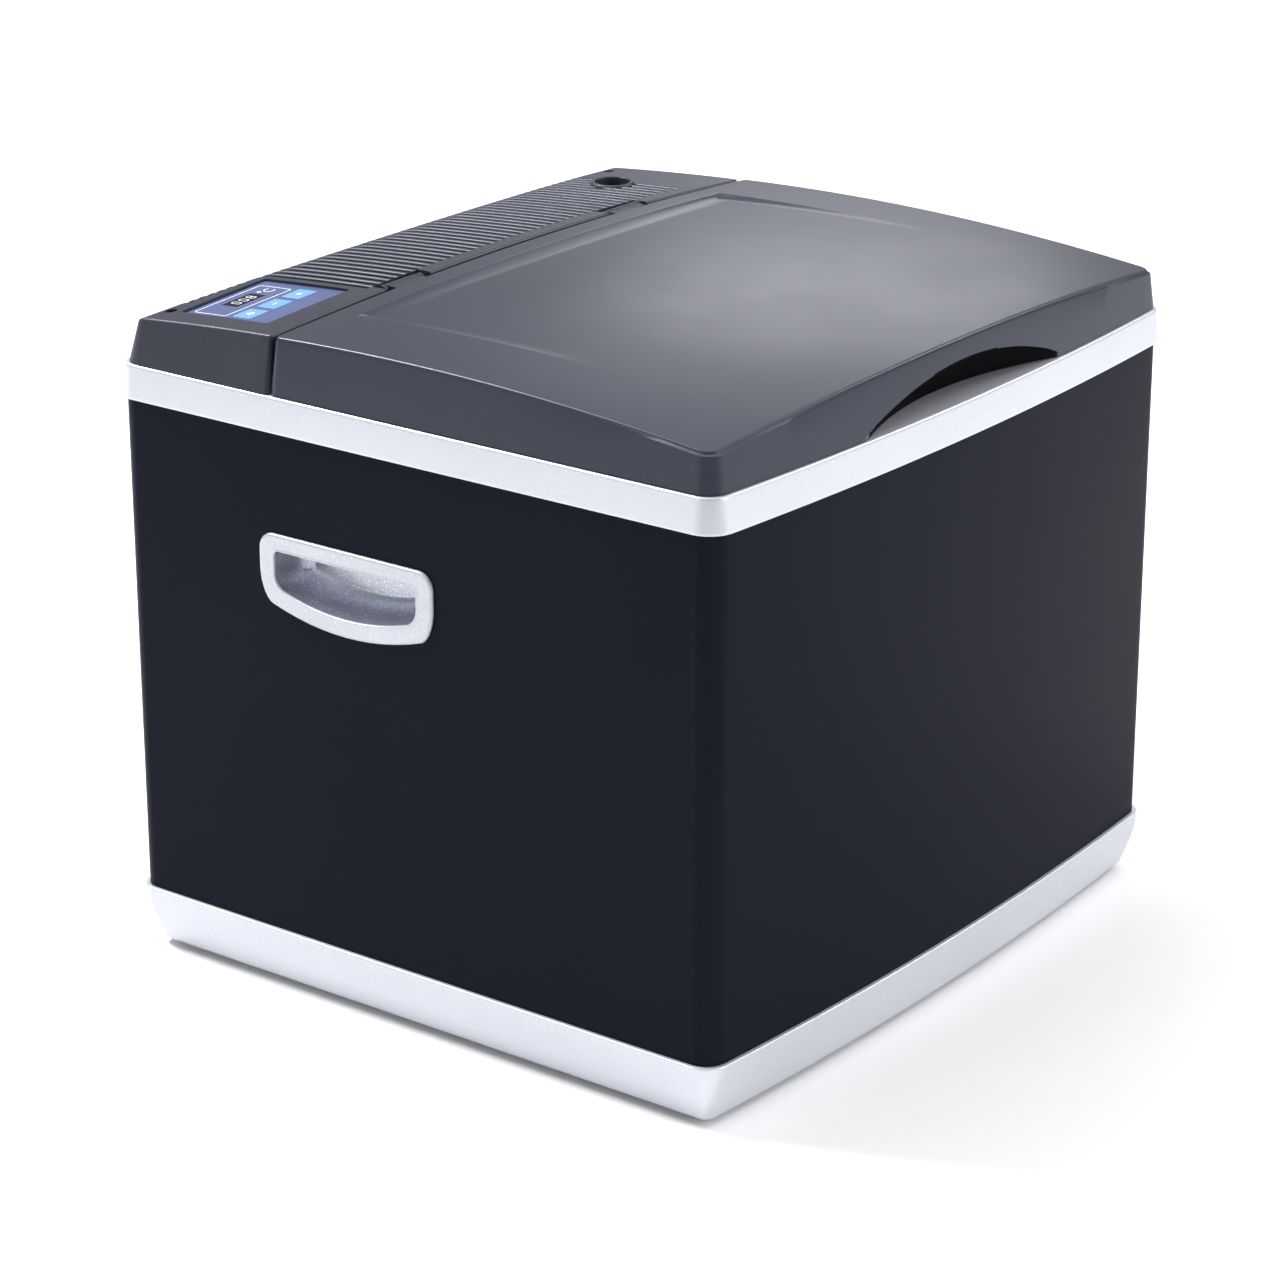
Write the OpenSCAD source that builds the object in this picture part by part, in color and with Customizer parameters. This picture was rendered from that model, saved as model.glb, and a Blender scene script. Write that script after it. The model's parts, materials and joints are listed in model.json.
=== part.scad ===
// Compressor cooler fridge, chest type, for vans and boats.
// Millimetres. The origin is on the floor under the middle of the fridge, +Z is up.
// -Y is the bowed front with the finger notch, +Y is the back with the machinery,
// and the control panel is at the -X end of the machinery cover.

/* [Casing] */
// Width of the painted steel casing
casing_w = 494; // [488:1:504]
// Depth of the casing, from the back panel to the middle of the bowed front
casing_d = 463; // [458:1:475]
// How far the middle of the front stands out from its corners
front_bow = 11; // [6:1:14]
// Radius of the upright casing corners
corner_r = 13; // [11:1:15]
// Height of the painted casing between the two silver bands
casing_h = 328; // [322:1:345]

/* [Bands and feet] */
// Height of each rubber foot below the tray
foot_h = 4; // [3:0.5:6]
// Height of the silver base tray
tray_h = 39; // [37:1:42]
// Height of the silver top frame
frame_h = 22; // [20:1:26]
// How far the bands stand out from the casing
band_out = 3; // [2:0.5:4]

/* [Lid] */
// Height of the lid's middle above the top frame
crown_h = 48; // [46:1:54]
// Wall of the lid shell and of the machinery cover
skin = 3; // [2.5:0.25:3.5]
// Half width of the finger notch in the lid's front edge
notch_half_w = 112; // [90:1:125]
// Height of the finger notch
notch_h = 23.5; // [18:0.5:25]
// Depth of the finger notch behind the front
notch_d = 24; // [18:1:26]

/* [Hinge] */
// Gap between the lid's rear face and the machinery cover
seam = 3; // [2.5:0.25:3.5]
// Radius of the steel hinge pins
pin_r = 2; // [1.8:0.05:2.2]
// Radial play of a pin in its lid arm
pin_play = 0.06; // [0.03:0.01:0.1]
// Distance of each hinge from the middle
hinge_x = 113; // [108:1:118]

/* [Bin] */
// Inside width of the cooling bin
bin_w = 420; // [410:1:422]
// Inside depth of the cooling bin, front to back
bin_d = 287; // [280:1:288]
// Height of the bin's floor above the ground
bin_floor_z = 75; // [70:1:85]

/* [Controls] */
// Width of the printed control fascia
fascia_w = 77; // [74:1:80]
// Depth of the printed control fascia
fascia_d = 71; // [68:1:73]
// Width of one key
key_w = 17.5; // [16:0.5:18.5]
// Depth of one key
key_d = 15; // [13:0.5:16]
// Travel of a key
key_travel = 0.4; // [0.2:0.1:0.5]

/* [Hidden] */

// Levels, from the floor up
tray_z = foot_h;
case_z = tray_z + tray_h;
frame_z = case_z + casing_h;
rim_z = frame_z + frame_h;
lid_z = rim_z + 0.8;
crown_z = rim_z + crown_h;

// Plan of the casing: flat back and sides, bowed front
half_w = casing_w / 2;
half_d = casing_d / 2;
bow_r = (half_w * half_w + front_bow * front_bow) / (2 * front_bow);
bow_y = bow_r - half_d;
front_corner_x = half_w - corner_r;
front_corner_y = bow_y - sqrt(pow(bow_r - corner_r, 2) - pow(front_corner_x, 2));
bow_a = 180 + atan2(bow_y - front_corner_y, front_corner_x);

// Front to back layout
lid_back_y = 106.5;
cover_front_y = lid_back_y + seam;
hinge_y = lid_back_y + 9;
hinge_z = rim_z + 37.4;
knuckle_r = 4;
arm_w = 30;
ear_t = 3.6;
partition_y = 106;
machine_y = 124;
steel_t = 1;
back_y = half_d + 0.1;
sweep_a = 12;

// Feet and the base tray's steps
foot_x = 205;
foot_ys = [-185, 195];
foot_r = 14;
tray_wall = 3;
waist_z = case_z - 23;

// Lid: crown radii across and along, and the sunk panel in its top
lid_rx = 2928;
lid_ry = 2016;
lid_mid_y = -12;
panel_drop = 1.1;
panel_mid_y = -48;
sunk_x = 187;
sunk_front_y = -90;
sunk_back_y = 87.5;

// Bin and what surrounds it
wall = 2;
bin_front_y = -half_d + 36.5;
bin_back_y = bin_front_y + bin_d;
bin_r = 16;
flange_w = 7;
tube_r = 4;
loop_zs = [110, 145, 180, 215, 250];
header_x = 180;
header_y = bin_back_y + wall + tube_r;
port_z = 250;
sensor_x = 60;
sensor_z = 300;

// Back panel and its screws
panel_half_w = 231;
panel_screw_xs = [-224, 224];
panel_screw_zs = [60, 160, 260, 358];

// Machinery cover: the vent slots, the round hole and the fixing screws
slot_pitch = 8;
slot_w = 4.2;
slot_x0 = -136;
slot_n = 41;
slot_y0 = 122;
ring_x = 177;
ring_y = 170.5;
ring_z = crown_z - 11.2;
ring_r = 15;
ring_hole_r = 12;
cover_screw_x = 222;
cover_screw_y = 208;

// Hinge screws
screw_dxs = [-9, 9];
bracket_screw_y = 121;
bracket_screw_xs = [for (s = [-1, 1], d = screw_dxs) s * hinge_x + d];
arm_screw_z = lid_z + 16;

// Carrying handles: flange outside, cup inside
handle_y = 49.5;
handle_z = 307;
handle_w = 136;
handle_side_h = 42;
handle_sag = 13;
cup_w = 110.5;
cup_side_h = 23;
cup_sag = 9.5;
cup_drop = 10.5;
cup_depth = 24;

// Control panel: a plane tilted with the cover's crown
panel_x = -183.5;
panel_y = 164.5;
panel_z = crown_z - 14.3;
panel_tilt = [-3.9, -3, 0];
fascia_t = 0.6;
pad_t = 3.9;
key_pitch = 22.5;
key_v = -7.5;
window_w = 27;
window_d = 13;
window_v = 18.5;
board_w = -6.4;
board_screw_us = [-34, 34];
board_screw_vs = [-30, 30];

// Machinery compartment
comp_x = 10;
comp_y = 170;
comp_r = 52;
comp_top_z = 150;
comp_seam_z = 90;
plate_z = 24;
fan_x = 120;
fan_y = 170;
fan_z = 76;
fan_side = 92;
fan_t = 25;
coil_cols = [170, 195];
coil_z0 = 38;
coil_pitch = 25;
coil_rows = 5;
coil_y0 = 130;
coil_y1 = 210;
coil_top_z = coil_z0 + (coil_rows - 1) * coil_pitch;
fan_hole = 41.3;
grommet_spots = [for (x = [comp_x - 62, comp_x + 62], y = [comp_y - 38, comp_y + 38]) [x, y]];
drier_x = 192;
drier_y = 190;
drier_z = 200;

// Power inlets
ac_x = -150;
dc_x = -88;
inlet_z = 96;
inlet_y = back_y + steel_t;
inlet_flange_t = 1.2;
inlet_screw_xs = [ac_x - 20, ac_x + 20, dc_x - 17, dc_x + 17];

// ---------- outlines and shared shapes ----------

function arc(cx, cy, r, a0, a1, n, first = 0) =
    [for (i = [first:n]) let (a = a0 + (a1 - a0) * i / n) [cx + r * cos(a), cy + r * sin(a)]];

// Plan of the casing grown outwards by o
function plan(o) = concat(
    arc(half_w - corner_r, half_d - corner_r, corner_r + o, 0, 90, 8),
    arc(corner_r - half_w, half_d - corner_r, corner_r + o, 90, 180, 8),
    arc(-front_corner_x, front_corner_y, corner_r + o, 180, bow_a, 8),
    arc(0, bow_y, bow_r + o, bow_a, 540 - bow_a, 20, 1),
    arc(front_corner_x, front_corner_y, corner_r + o, 540 - bow_a, 360, 8, 1)
);

module prism(o, z0, z1) {
    translate([0, 0, z0]) linear_extrude(z1 - z0) polygon(plan(o));
}

// Upright box with rounded corners
module round_box(x0, x1, y0, y1, r, z0, z1) {
    translate([0, 0, z0]) linear_extrude(z1 - z0) polygon(concat(
        arc(x1 - r, y1 - r, r, 0, 90, 6), arc(x0 + r, y1 - r, r, 90, 180, 6),
        arc(x0 + r, y0 + r, r, 180, 270, 6), arc(x1 - r, y0 + r, r, 270, 360, 6)));
}

// Plain box from corner to corner
module block(a, b) {
    translate(a) cube(b - a);
}

// Both sides of the fridge
module both() {
    children();
    mirror([1, 0, 0]) children();
}

// Solid below a surface that is crowned across (radius rx) and along (radius ry)
module crowned(top_z, mid_y, rx, ry) {
    translate([0, mid_y, top_z - rx]) rotate([90, 0, 0]) rotate([0, 0, 90 - sweep_a / 2])
        rotate_extrude(angle = sweep_a, $fn = 720) intersection() {
            translate([rx - ry, 0]) circle(ry, $fn = 720);
            translate([rx - 90, -270]) square([91, 540]);
        }
}

function unit(v) = v / norm(v);

// Round tube along square-cornered points, with a bend of the given radius at each corner
module pipe(pts, r, bend) {
    n = len(pts) - 1;
    for (i = [0:n - 1]) {
        d = unit(pts[i + 1] - pts[i]);
        a = pts[i] + (i > 0 ? bend : 0) * d;
        b = pts[i + 1] - (i < n - 1 ? bend : 0) * d;
        translate(a) rotate([0, acos(d[2]), atan2(d[1], d[0])])
            cylinder(h = norm(b - a), r = r, $fn = 24);
    }
    for (i = [1:1:n - 1]) {
        d = unit(pts[i] - pts[i - 1]);
        e = unit(pts[i + 1] - pts[i]);
        q = cross(-e, d);
        c = pts[i] + bend * (e - d);
        multmatrix([[-e[0], d[0], q[0], c[0]], [-e[1], d[1], q[1], c[1]], [-e[2], d[2], q[2], c[2]]])
            rotate_extrude(angle = 90, $fn = 48) translate([bend, 0]) circle(r, $fn = 24);
    }
}

// Pan-head screw standing on the XY plane, shank downwards
module screw(r, len, head_r, head_h) {
    cylinder(h = head_h, r = head_r, $fn = 32);
    translate([0, 0, -len]) cylinder(h = len, r = r, $fn = 24);
}

// Anything drawn on the control panel: x across, y front to back, z out of it
module on_panel() {
    translate([panel_x, panel_y, panel_z]) rotate(panel_tilt) children();
}

// ---------- base ----------

module base_tray() {
    color("#dfe1e6") difference() {
        union() {
            hull() {
                prism(band_out, case_z - 8, case_z);
                prism(-1, waist_z, waist_z + 0.1);
            }
            hull() {
                prism(-1, waist_z, waist_z + 0.1);
                prism(-6, tray_z + 2, tray_z + 2.1);
            }
            hull() {
                prism(-6, tray_z + 2, tray_z + 2.1);
                prism(-8, tray_z, tray_z + 0.1);
            }
        }
        prism(0.1, case_z - 3, case_z + 1);
        prism(-3.4, case_z - 22, case_z);
        prism(-10, tray_z + tray_wall, case_z);
        both() for (y = foot_ys)
            translate([foot_x, y, tray_z - 1]) cylinder(h = 3, r = foot_r + 0.2, $fn = 48);
    }
    color("#dfe1e6") for (p = grommet_spots)
        translate([p[0], p[1], tray_z + tray_wall]) cylinder(h = 7, r = 9, $fn = 32);
}

module feet() {
    color("#222326") both() for (y = foot_ys)
        translate([foot_x, y, 0]) cylinder(h = foot_h + 2, r = foot_r, $fn = 48);
}

module handle_cutout(x0, x1, grow) {
    translate([x0, handle_y, handle_z - cup_drop]) rotate([90, 0, 90])
        linear_extrude(x1 - x0)
            polygon(handle_outline(cup_w + 2 * grow, cup_side_h, cup_sag, grow, 5));
}

// Flat top, upright sides and an arched bottom, hung from its top edge
function handle_outline(w, side_h, sag, up, r) = concat(
    arc(w / 2 - r, up - r, r, 0, 90, 5),
    arc(r - w / 2, up - r, r, 90, 180, 5),
    [for (i = [0:16]) let (t = -1 + i / 8) [t * w / 2, -side_h - up - sag * (1 - t * t)]]
);

module casing_wrap() {
    color("#20222b") difference() {
        prism(0, case_z - 3, frame_z + 3);
        prism(-steel_t, case_z - 4, frame_z + 4);
        block([19 - half_w, half_d - 20, case_z - 4], [half_w - 19, half_d + 1, frame_z + 4]);
        both() handle_cutout(-half_w - 1, 3 - half_w, wall + 0.3);
    }
}

module back_panel() {
    color("#20222b") difference() {
        block([-panel_half_w, back_y, case_z + 0.5], [panel_half_w, back_y + steel_t, frame_z - 0.5]);
        for (i = [0:9], x = [60, 170])
            block([x - 45, back_y - 1, 62 + 9 * i], [x + 45, back_y + 2, 66 + 9 * i]);
        for (i = [0:5], x = [-150, 0, 150])
            block([x - 55, back_y - 1, 290 + 9 * i], [x + 55, back_y + 2, 294 + 9 * i]);
        for (x = panel_screw_xs, z = panel_screw_zs)
            translate([x, back_y - 1, z]) rotate([-90, 0, 0]) cylinder(h = 3, r = 2, $fn = 24);
        block([ac_x - 13.8, back_y - 1, inlet_z - 10.1], [ac_x + 13.8, back_y + 2, inlet_z + 10.1]);
        block([dc_x - 13.3, back_y - 1, inlet_z - 8.3], [dc_x + 13.3, back_y + 2, inlet_z + 8.3]);
        for (x = inlet_screw_xs)
            translate([x, back_y - 1, inlet_z]) rotate([-90, 0, 0]) cylinder(h = 3, r = 1.7, $fn = 24);
    }
}

module back_panel_screws() {
    color("#2a2b30") for (x = panel_screw_xs, z = panel_screw_zs)
        translate([x, back_y + steel_t, z]) rotate([-90, 0, 0]) screw(1.7, 6, 3.4, 1.4);
}

module top_frame() {
    color("#e6e8ec") difference() {
        hull() {
            prism(band_out, frame_z, frame_z + 2);
            prism(0.6, rim_z - 1, rim_z);
        }
        difference() {
            prism(0.1, frame_z - 1, frame_z + 3);
            prism(-steel_t - 0.1, frame_z - 1, frame_z + 3);
        }
        prism(-4, frame_z - 1, rim_z - 7);
        round_box(-bin_w / 2 - wall - 0.4, bin_w / 2 + wall + 0.4, bin_front_y - wall - 0.4,
                  bin_back_y + wall + 0.4, bin_r + wall, frame_z - 1, rim_z + 1);
        round_box(-bin_w / 2 - wall - flange_w - 0.4, bin_w / 2 + wall + flange_w + 0.4,
                  bin_front_y - wall - flange_w - 0.4, bin_back_y + wall + flange_w + 0.4,
                  bin_r + wall + flange_w, rim_z - 2, rim_z + 1);
        block([-200, machine_y, frame_z - 1], [200, 210, rim_z + 1]);
        both() translate([cover_screw_x, cover_screw_y, rim_z - 8])
            cylinder(h = 9, r = 1.6, $fn = 24);
        for (x = bracket_screw_xs)
            translate([x, bracket_screw_y, rim_z - 6]) cylinder(h = 7, r = 1.5, $fn = 24);
    }
}

// ---------- bin and insulation ----------

module bin_liner() {
    x = bin_w / 2;
    color("#eceef0") difference() {
        union() {
            round_box(-x - wall, x + wall, bin_front_y - wall, bin_back_y + wall, bin_r + wall,
                      bin_floor_z - wall, rim_z - 1);
            round_box(-x - wall - flange_w, x + wall + flange_w, bin_front_y - wall - flange_w,
                      bin_back_y + wall + flange_w, bin_r + wall + flange_w, rim_z - 2, rim_z);
        }
        round_box(-x, x, bin_front_y, bin_back_y, bin_r, bin_floor_z, rim_z + 1);
    }
}

module body_foam() {
    x = bin_w / 2 + wall + 0.3;
    color("#f2e7b8") difference() {
        union() {
            prism(-10.3, tray_z + 3, case_z - 21);
            prism(-3.7, case_z - 21.7, case_z - 1);
            prism(-steel_t - 0.3, case_z - 3, frame_z - 0.3);
            prism(-4.3, frame_z - 1, rim_z - 7.3);
        }
        block([-300, partition_y - 0.5, 0], [300, 300, 500]);
        round_box(-x, x, bin_front_y - wall - 0.3, bin_back_y + wall + 0.3, bin_r + wall,
                  bin_floor_z - wall - 0.3, 500);
        for (z = loop_zs) difference() {
            round_box(-x - 9, x + 9, bin_front_y - wall - 9, bin_back_y + wall + 9,
                      bin_r + 9, z - 4.6, z + 4.6);
            round_box(-x + 1, x - 1, bin_front_y, bin_back_y, bin_r, z - 5, z + 5);
        }
        both() {
            block([header_x - 4.6, bin_back_y, loop_zs[0] - 5], [header_x + 4.6, 110, port_z + 5]);
            handle_cutout(-half_w, cup_depth + wall + 0.4 - half_w, wall + 0.4);
        }
        block([sensor_x - 4, bin_back_y, sensor_z - 14], [sensor_x + 4, 110, sensor_z + 14]);
    }
}

// Tube loops round the bin, joined by two upright headers
module evaporator_coil() {
    x = bin_w / 2 + wall + tube_r + 0.3;
    y0 = bin_front_y - wall - tube_r - 0.3;
    y1 = header_y + 0.3;
    r = bin_r + wall + tube_r;
    color("#c8ccd0") {
        for (z = loop_zs) translate([0, 0, z]) {
            for (y = [y0, y1])
                translate([r - x, y, 0]) rotate([0, 90, 0])
                    cylinder(h = 2 * (x - r), r = tube_r, $fn = 24);
            for (s = [-x, x])
                translate([s, y0 + r, 0]) rotate([-90, 0, 0])
                    cylinder(h = y1 - y0 - 2 * r, r = tube_r, $fn = 24);
            for (c = [[1, y1 - r, 0], [-1, y1 - r, 90], [-1, y0 + r, 180], [1, y0 + r, 270]])
                translate([c[0] * (x - r), c[1], 0]) rotate([0, 0, c[2]])
                    rotate_extrude(angle = 90, $fn = 48) translate([r, 0]) circle(tube_r, $fn = 24);
        }
        both() {
            translate([header_x, y1, loop_zs[0]]) cylinder(h = port_z - loop_zs[0], r = 3.4, $fn = 24);
            translate([header_x, y1, port_z]) rotate([-90, 0, 0])
                cylinder(h = 118 - y1, r = 3.4, $fn = 24);
        }
    }
}

module temperature_sensor() {
    color("#b87333") translate([sensor_x, bin_back_y + wall + 3.2, sensor_z - 12])
        cylinder(h = 24, r = 3, $fn = 32);
}

module partition_panel() {
    color("#5a5c61") difference() {
        block([4 - half_w, partition_y, case_z - 21], [half_w - 4, partition_y + 2, rim_z - 7.3]);
        both() {
            handle_cutout(-half_w, cup_depth + wall + 0.4 - half_w, wall + 0.4);
            translate([header_x, partition_y - 1, port_z]) rotate([-90, 0, 0])
                cylinder(h = 4, r = 3.7, $fn = 32);
        }
    }
}

// ---------- handles ----------

module handle_half() {
    out = 2.6;
    color("#e8eaec") difference() {
        union() {
            translate([-half_w - out, handle_y, handle_z]) rotate([90, 0, 90])
                linear_extrude(out) polygon(handle_outline(handle_w, handle_side_h, handle_sag, 0, 9));
            handle_cutout(-half_w, cup_depth + wall - half_w, wall);
        }
        handle_cutout(-half_w - out - 1, cup_depth - half_w, 0);
    }
}

module handle_left() {
    handle_half();
}

module handle_right() {
    mirror([1, 0, 0]) handle_half();
}

// ---------- machinery cover ----------

// Outside of the cover, or its inside when inset by the skin
module cover_solid(inset) {
    w = half_w - inset;
    intersection() {
        prism(-inset, rim_z + 0.4 - inset, crown_z + 5);
        crowned(crown_z - 2.4 - inset, 15.5, 3571, 2174);
        rotate([90, 0, 0]) translate([0, 0, -300]) linear_extrude(300)
            polygon([[-w, rim_z - 5], [w, rim_z - 5], [w - 6, crown_z + 5], [6 - w, crown_z + 5]]);
        rotate([90, 0, 90]) translate([0, 0, -300]) linear_extrude(600)
            polygon([[cover_front_y + inset, rim_z - 5], [half_d - inset, rim_z - 5],
                     [half_d - inset, rim_z], [half_d - 4 - inset, rim_z + 11],
                     [half_d - 7.5 - inset, rim_z + 21], [half_d - 12.5 - inset, rim_z + 27.5],
                     [half_d - 18.5 - inset, rim_z + 32 - inset],
                     [half_d - 27 - inset, rim_z + 36.3 - inset],
                     [half_d - 40 - inset, rim_z + 42], [half_d - 50, crown_z + 5],
                     [cover_front_y + inset, crown_z + 5]]);
    }
}

module machinery_cover() {
    color("#3b3d45") difference() {
        union() {
            difference() {
                cover_solid(0);
                cover_solid(skin);
                for (i = [0:slot_n - 1])
                    block([slot_x0 + i * slot_pitch - slot_w / 2, slot_y0, rim_z + 20],
                          [slot_x0 + i * slot_pitch + slot_w / 2, half_d + 5, crown_z + 5]);
                for (i = [0:6])
                    block([slot_pitch * i - 202, 209, rim_z + 20],
                          [slot_pitch * i - 198, half_d + 5, crown_z + 5]);
            }
            intersection() {
                cover_solid(1);
                union() {
                    for (y = [145, 178])
                        block([-142, y, rim_z + 20], [192, y + 5, crown_z]);
                    translate([ring_x, ring_y, rim_z + 20]) cylinder(h = 40, r = ring_r, $fn = 48);
                    on_panel() translate([-fascia_w / 2 - 3, -fascia_d / 2 - 3, -fascia_t - pad_t])
                        cube([fascia_w + 6, fascia_d + 6, pad_t + 10]);
                    both() translate([cover_screw_x, cover_screw_y, rim_z])
                        cylinder(h = 40, r = 6, $fn = 32);
                }
            }
            translate([ring_x, ring_y, ring_z - 4]) cylinder(h = 5, r = ring_r, $fn = 48);
            on_panel() for (u = board_screw_us, v = board_screw_vs)
                translate([u, v, board_w]) cylinder(h = 3, r = 3, $fn = 24);
        }
        translate([ring_x, ring_y, rim_z]) cylinder(h = 80, r = ring_hole_r, $fn = 48);
        on_panel() {
            translate([-fascia_w / 2 - 0.2, -fascia_d / 2 - 0.2, -fascia_t])
                cube([fascia_w + 0.4, fascia_d + 0.4, 20]);
            key_openings(0.3, -10, 10);
            translate([-window_w / 2 - 0.8, window_v - window_d / 2 - 0.8, -10])
                cube([window_w + 1.6, window_d + 1.6, 20]);
            for (u = board_screw_us, v = board_screw_vs)
                translate([u, v, board_w - 1]) cylinder(h = 5, r = 1.1, $fn = 24);
        }
        both() {
            block([hinge_x - 22, cover_front_y - 1, hinge_z - 5.4],
                  [hinge_x + 22, hinge_y + 5, crown_z + 5]);
            translate([cover_screw_x, cover_screw_y, rim_z - 1]) cylinder(h = 60, r = 1.9, $fn = 32);
            translate([cover_screw_x, cover_screw_y, rim_z + 16]) cylinder(h = 60, r = 3.8, $fn = 32);
        }
    }
}

module cover_screws() {
    color("#2a2b30") both() translate([cover_screw_x, cover_screw_y, rim_z + 16])
        screw(1.6, 23, 3.4, 2.4);
}

// ---------- controls ----------

module key_openings(grow, z0, z1) {
    for (i = [-1:1])
        translate([i * key_pitch - key_w / 2 - grow, key_v - key_d / 2 - grow, z0])
            cube([key_w + 2 * grow, key_d + 2 * grow, z1 - z0]);
}

module control_fascia() {
    color("#6f7db0") on_panel() difference() {
        translate([-fascia_w / 2, -fascia_d / 2, -fascia_t]) cube([fascia_w, fascia_d, fascia_t]);
        key_openings(0.25, -1, 1);
        translate([-window_w / 2, window_v - window_d / 2, -1]) cube([window_w, window_d, 2]);
    }
}

module display_window() {
    color("#15161a") on_panel() translate([0.1 - window_w / 2, window_v + 0.1 - window_d / 2, -fascia_t])
        cube([window_w - 0.2, window_d - 0.2, fascia_t]);
}

module display_module() {
    color("#d9dadd") on_panel() translate([-window_w / 2 - 0.3, window_v - window_d / 2 - 0.3, board_w])
        cube([window_w + 0.6, window_d + 0.6, -board_w - fascia_t - 0.1]);
}

module control_board() {
    color("#1f6b3a") on_panel() difference() {
        union() {
            translate([-37, -33, board_w - 1.6]) cube([74, 66, 1.6]);
            for (i = [-1:1])
                translate([i * key_pitch, key_v, board_w - 0.1]) cylinder(h = 0.4, r = 3, $fn = 32);
        }
        for (u = board_screw_us, v = board_screw_vs)
            translate([u, v, board_w - 3]) cylinder(h = 5, r = 1.4, $fn = 24);
    }
}

module board_screws() {
    color("#c9ccd1") on_panel() for (u = board_screw_us, v = board_screw_vs)
        translate([u, v, board_w - 1.6]) mirror([0, 0, 1]) screw(1.1, 3.6, 2.2, 1.2);
}

// Flat cable from the control board down to the compressor controller
module ribbon_cable() {
    color("#c9c9c6") {
        block([-158, 156, 200], [-157.2, 176, rim_z + 8]);
        block([-158, 156, 199.2], [-80, 176, 200]);
        block([-80.8, 156, 141], [-80, 176, 200]);
    }
}

module key(i) {
    color("#5bb8ee") on_panel() translate([i * key_pitch, key_v, 0]) {
        translate([-key_w / 2, -key_d / 2, -5]) cube([key_w, key_d, 5.4]);
        translate([-key_w / 2 - 1.5, -key_d / 2 - 1.5, -5.5]) cube([key_w + 3, key_d + 3, 0.8]);
    }
}

module key_left() {
    key(-1);
}

module key_middle() {
    key(0);
}

module key_right() {
    key(1);
}

// ---------- machinery ----------

module compressor_plate() {
    color("#26282c") difference() {
        block([comp_x - 72, comp_y - 46, plate_z], [comp_x + 72, comp_y + 46, plate_z + 2]);
        for (p = grommet_spots)
            translate([p[0], p[1], plate_z - 1]) cylinder(h = 4, r = 3.3, $fn = 32);
    }
}

module compressor_grommets() {
    color("#1c1c1e") for (p = grommet_spots)
        translate([p[0], p[1], tray_z + 10]) difference() {
            cylinder(h = plate_z - tray_z - 10, r = 7.5, $fn = 32);
            translate([0, 0, -1]) cylinder(h = 20, r = 3.2, $fn = 32);
        }
}

module compressor_bolts() {
    color("#c9ccd1") for (p = grommet_spots)
        translate([p[0], p[1], plate_z + 2]) screw(3, plate_z - tray_z - 8, 6, 3);
}

module compressor_lower_shell() {
    color("#17181b") translate([comp_x, comp_y, plate_z + 2]) rotate_extrude($fn = 96) difference() {
        union() {
            square([comp_r - 14, 14]);
            translate([comp_r - 14, 14]) circle(14, $fn = 48);
            translate([0, 14]) square([comp_r, comp_seam_z - plate_z - 16]);
        }
        translate([-100, -50]) square([100, 200]);
        translate([0, 3]) square([comp_r - 14, 12]);
        translate([0, 14]) square([comp_r - 3, 100]);
    }
}

module compressor_upper_shell() {
    dome_h = comp_top_z - comp_seam_z;
    color("#17181b") translate([comp_x, comp_y, comp_seam_z]) rotate_extrude($fn = 96) difference() {
        union() {
            square([comp_r + 3, 5]);
            square([comp_r, dome_h - 26]);
            square([comp_r - 26, dome_h]);
            translate([comp_r - 26, dome_h - 26]) circle(26, $fn = 64);
        }
        translate([-100, -50]) square([100, 200]);
        translate([0, -1]) square([comp_r - 3, dome_h - 25]);
        square([comp_r - 26, dome_h - 3]);
        translate([comp_r - 26, dome_h - 26]) circle(23, $fn = 64);
    }
}

// Motor and pump, one unit standing inside the sealed shell
module compressor_pump() {
    color("#8d9095") translate([comp_x, comp_y, plate_z + 5]) {
        for (a = [45:90:315])
            rotate([0, 0, a]) translate([24, 0, 0]) cylinder(h = 14, r = 4, $fn = 32);
        translate([0, 0, 14]) cylinder(h = 34, r = 40, $fn = 64);
        translate([0, 0, 48]) cylinder(h = 16, r = 26, $fn = 64);
        translate([0, 0, 64]) cylinder(h = 18, r = 9, $fn = 32);
        translate([-14, -12, 64]) cube([44, 24, 26]);
    }
}

module compressor_controller() {
    color("#2c2e33") {
        block([comp_x - 96, comp_y - 38, 60], [comp_x - comp_r - 6, comp_y + 38, 140]);
        for (i = [0:8])
            block([comp_x - 100, comp_y - 34 + 8 * i, 64], [comp_x - 96, comp_y - 31 + 8 * i, 136]);
    }
}

// U-bend from the XY origin towards +X, in the XZ plane turned as needed
module u_bend(r) {
    rotate([0, 0, 180]) rotate_extrude(angle = 180, $fn = 48)
        translate([r, 0]) circle(tube_r, $fn = 24);
}

module condenser_tube() {
    r = coil_pitch / 2;
    color("#b87333") {
        for (x = coil_cols, k = [0:coil_rows - 1])
            translate([x, coil_y0, coil_z0 + k * coil_pitch]) rotate([-90, 0, 0])
                cylinder(h = coil_y1 - coil_y0, r = tube_r, $fn = 24);
        for (x = coil_cols, k = [0:coil_rows - 2])
            translate([x, k % 2 == 0 ? coil_y0 : coil_y1, coil_z0 + (k + 0.5) * coil_pitch])
                rotate([k % 2 == 0 ? 0 : 180, 0, 0]) rotate([0, 90, 0]) u_bend(r);
        translate([(coil_cols[0] + coil_cols[1]) / 2, coil_y1, coil_z0]) rotate([0, 0, 180]) u_bend(r);
        for (x = coil_cols)
            translate([x, coil_y0 - 5, coil_top_z]) rotate([-90, 0, 0])
                cylinder(h = 6, r = tube_r, $fn = 24);
    }
}

module condenser_fins() {
    color("#c8ccd0") for (y = [134:5:206]) difference() {
        block([152, y, 24], [213, y + 0.8, 152]);
        for (x = coil_cols, k = [0:coil_rows - 1])
            translate([x, y - 1, coil_z0 + k * coil_pitch]) rotate([-90, 0, 0])
                cylinder(h = 3, r = tube_r + 0.05, $fn = 24);
    }
}

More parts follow.
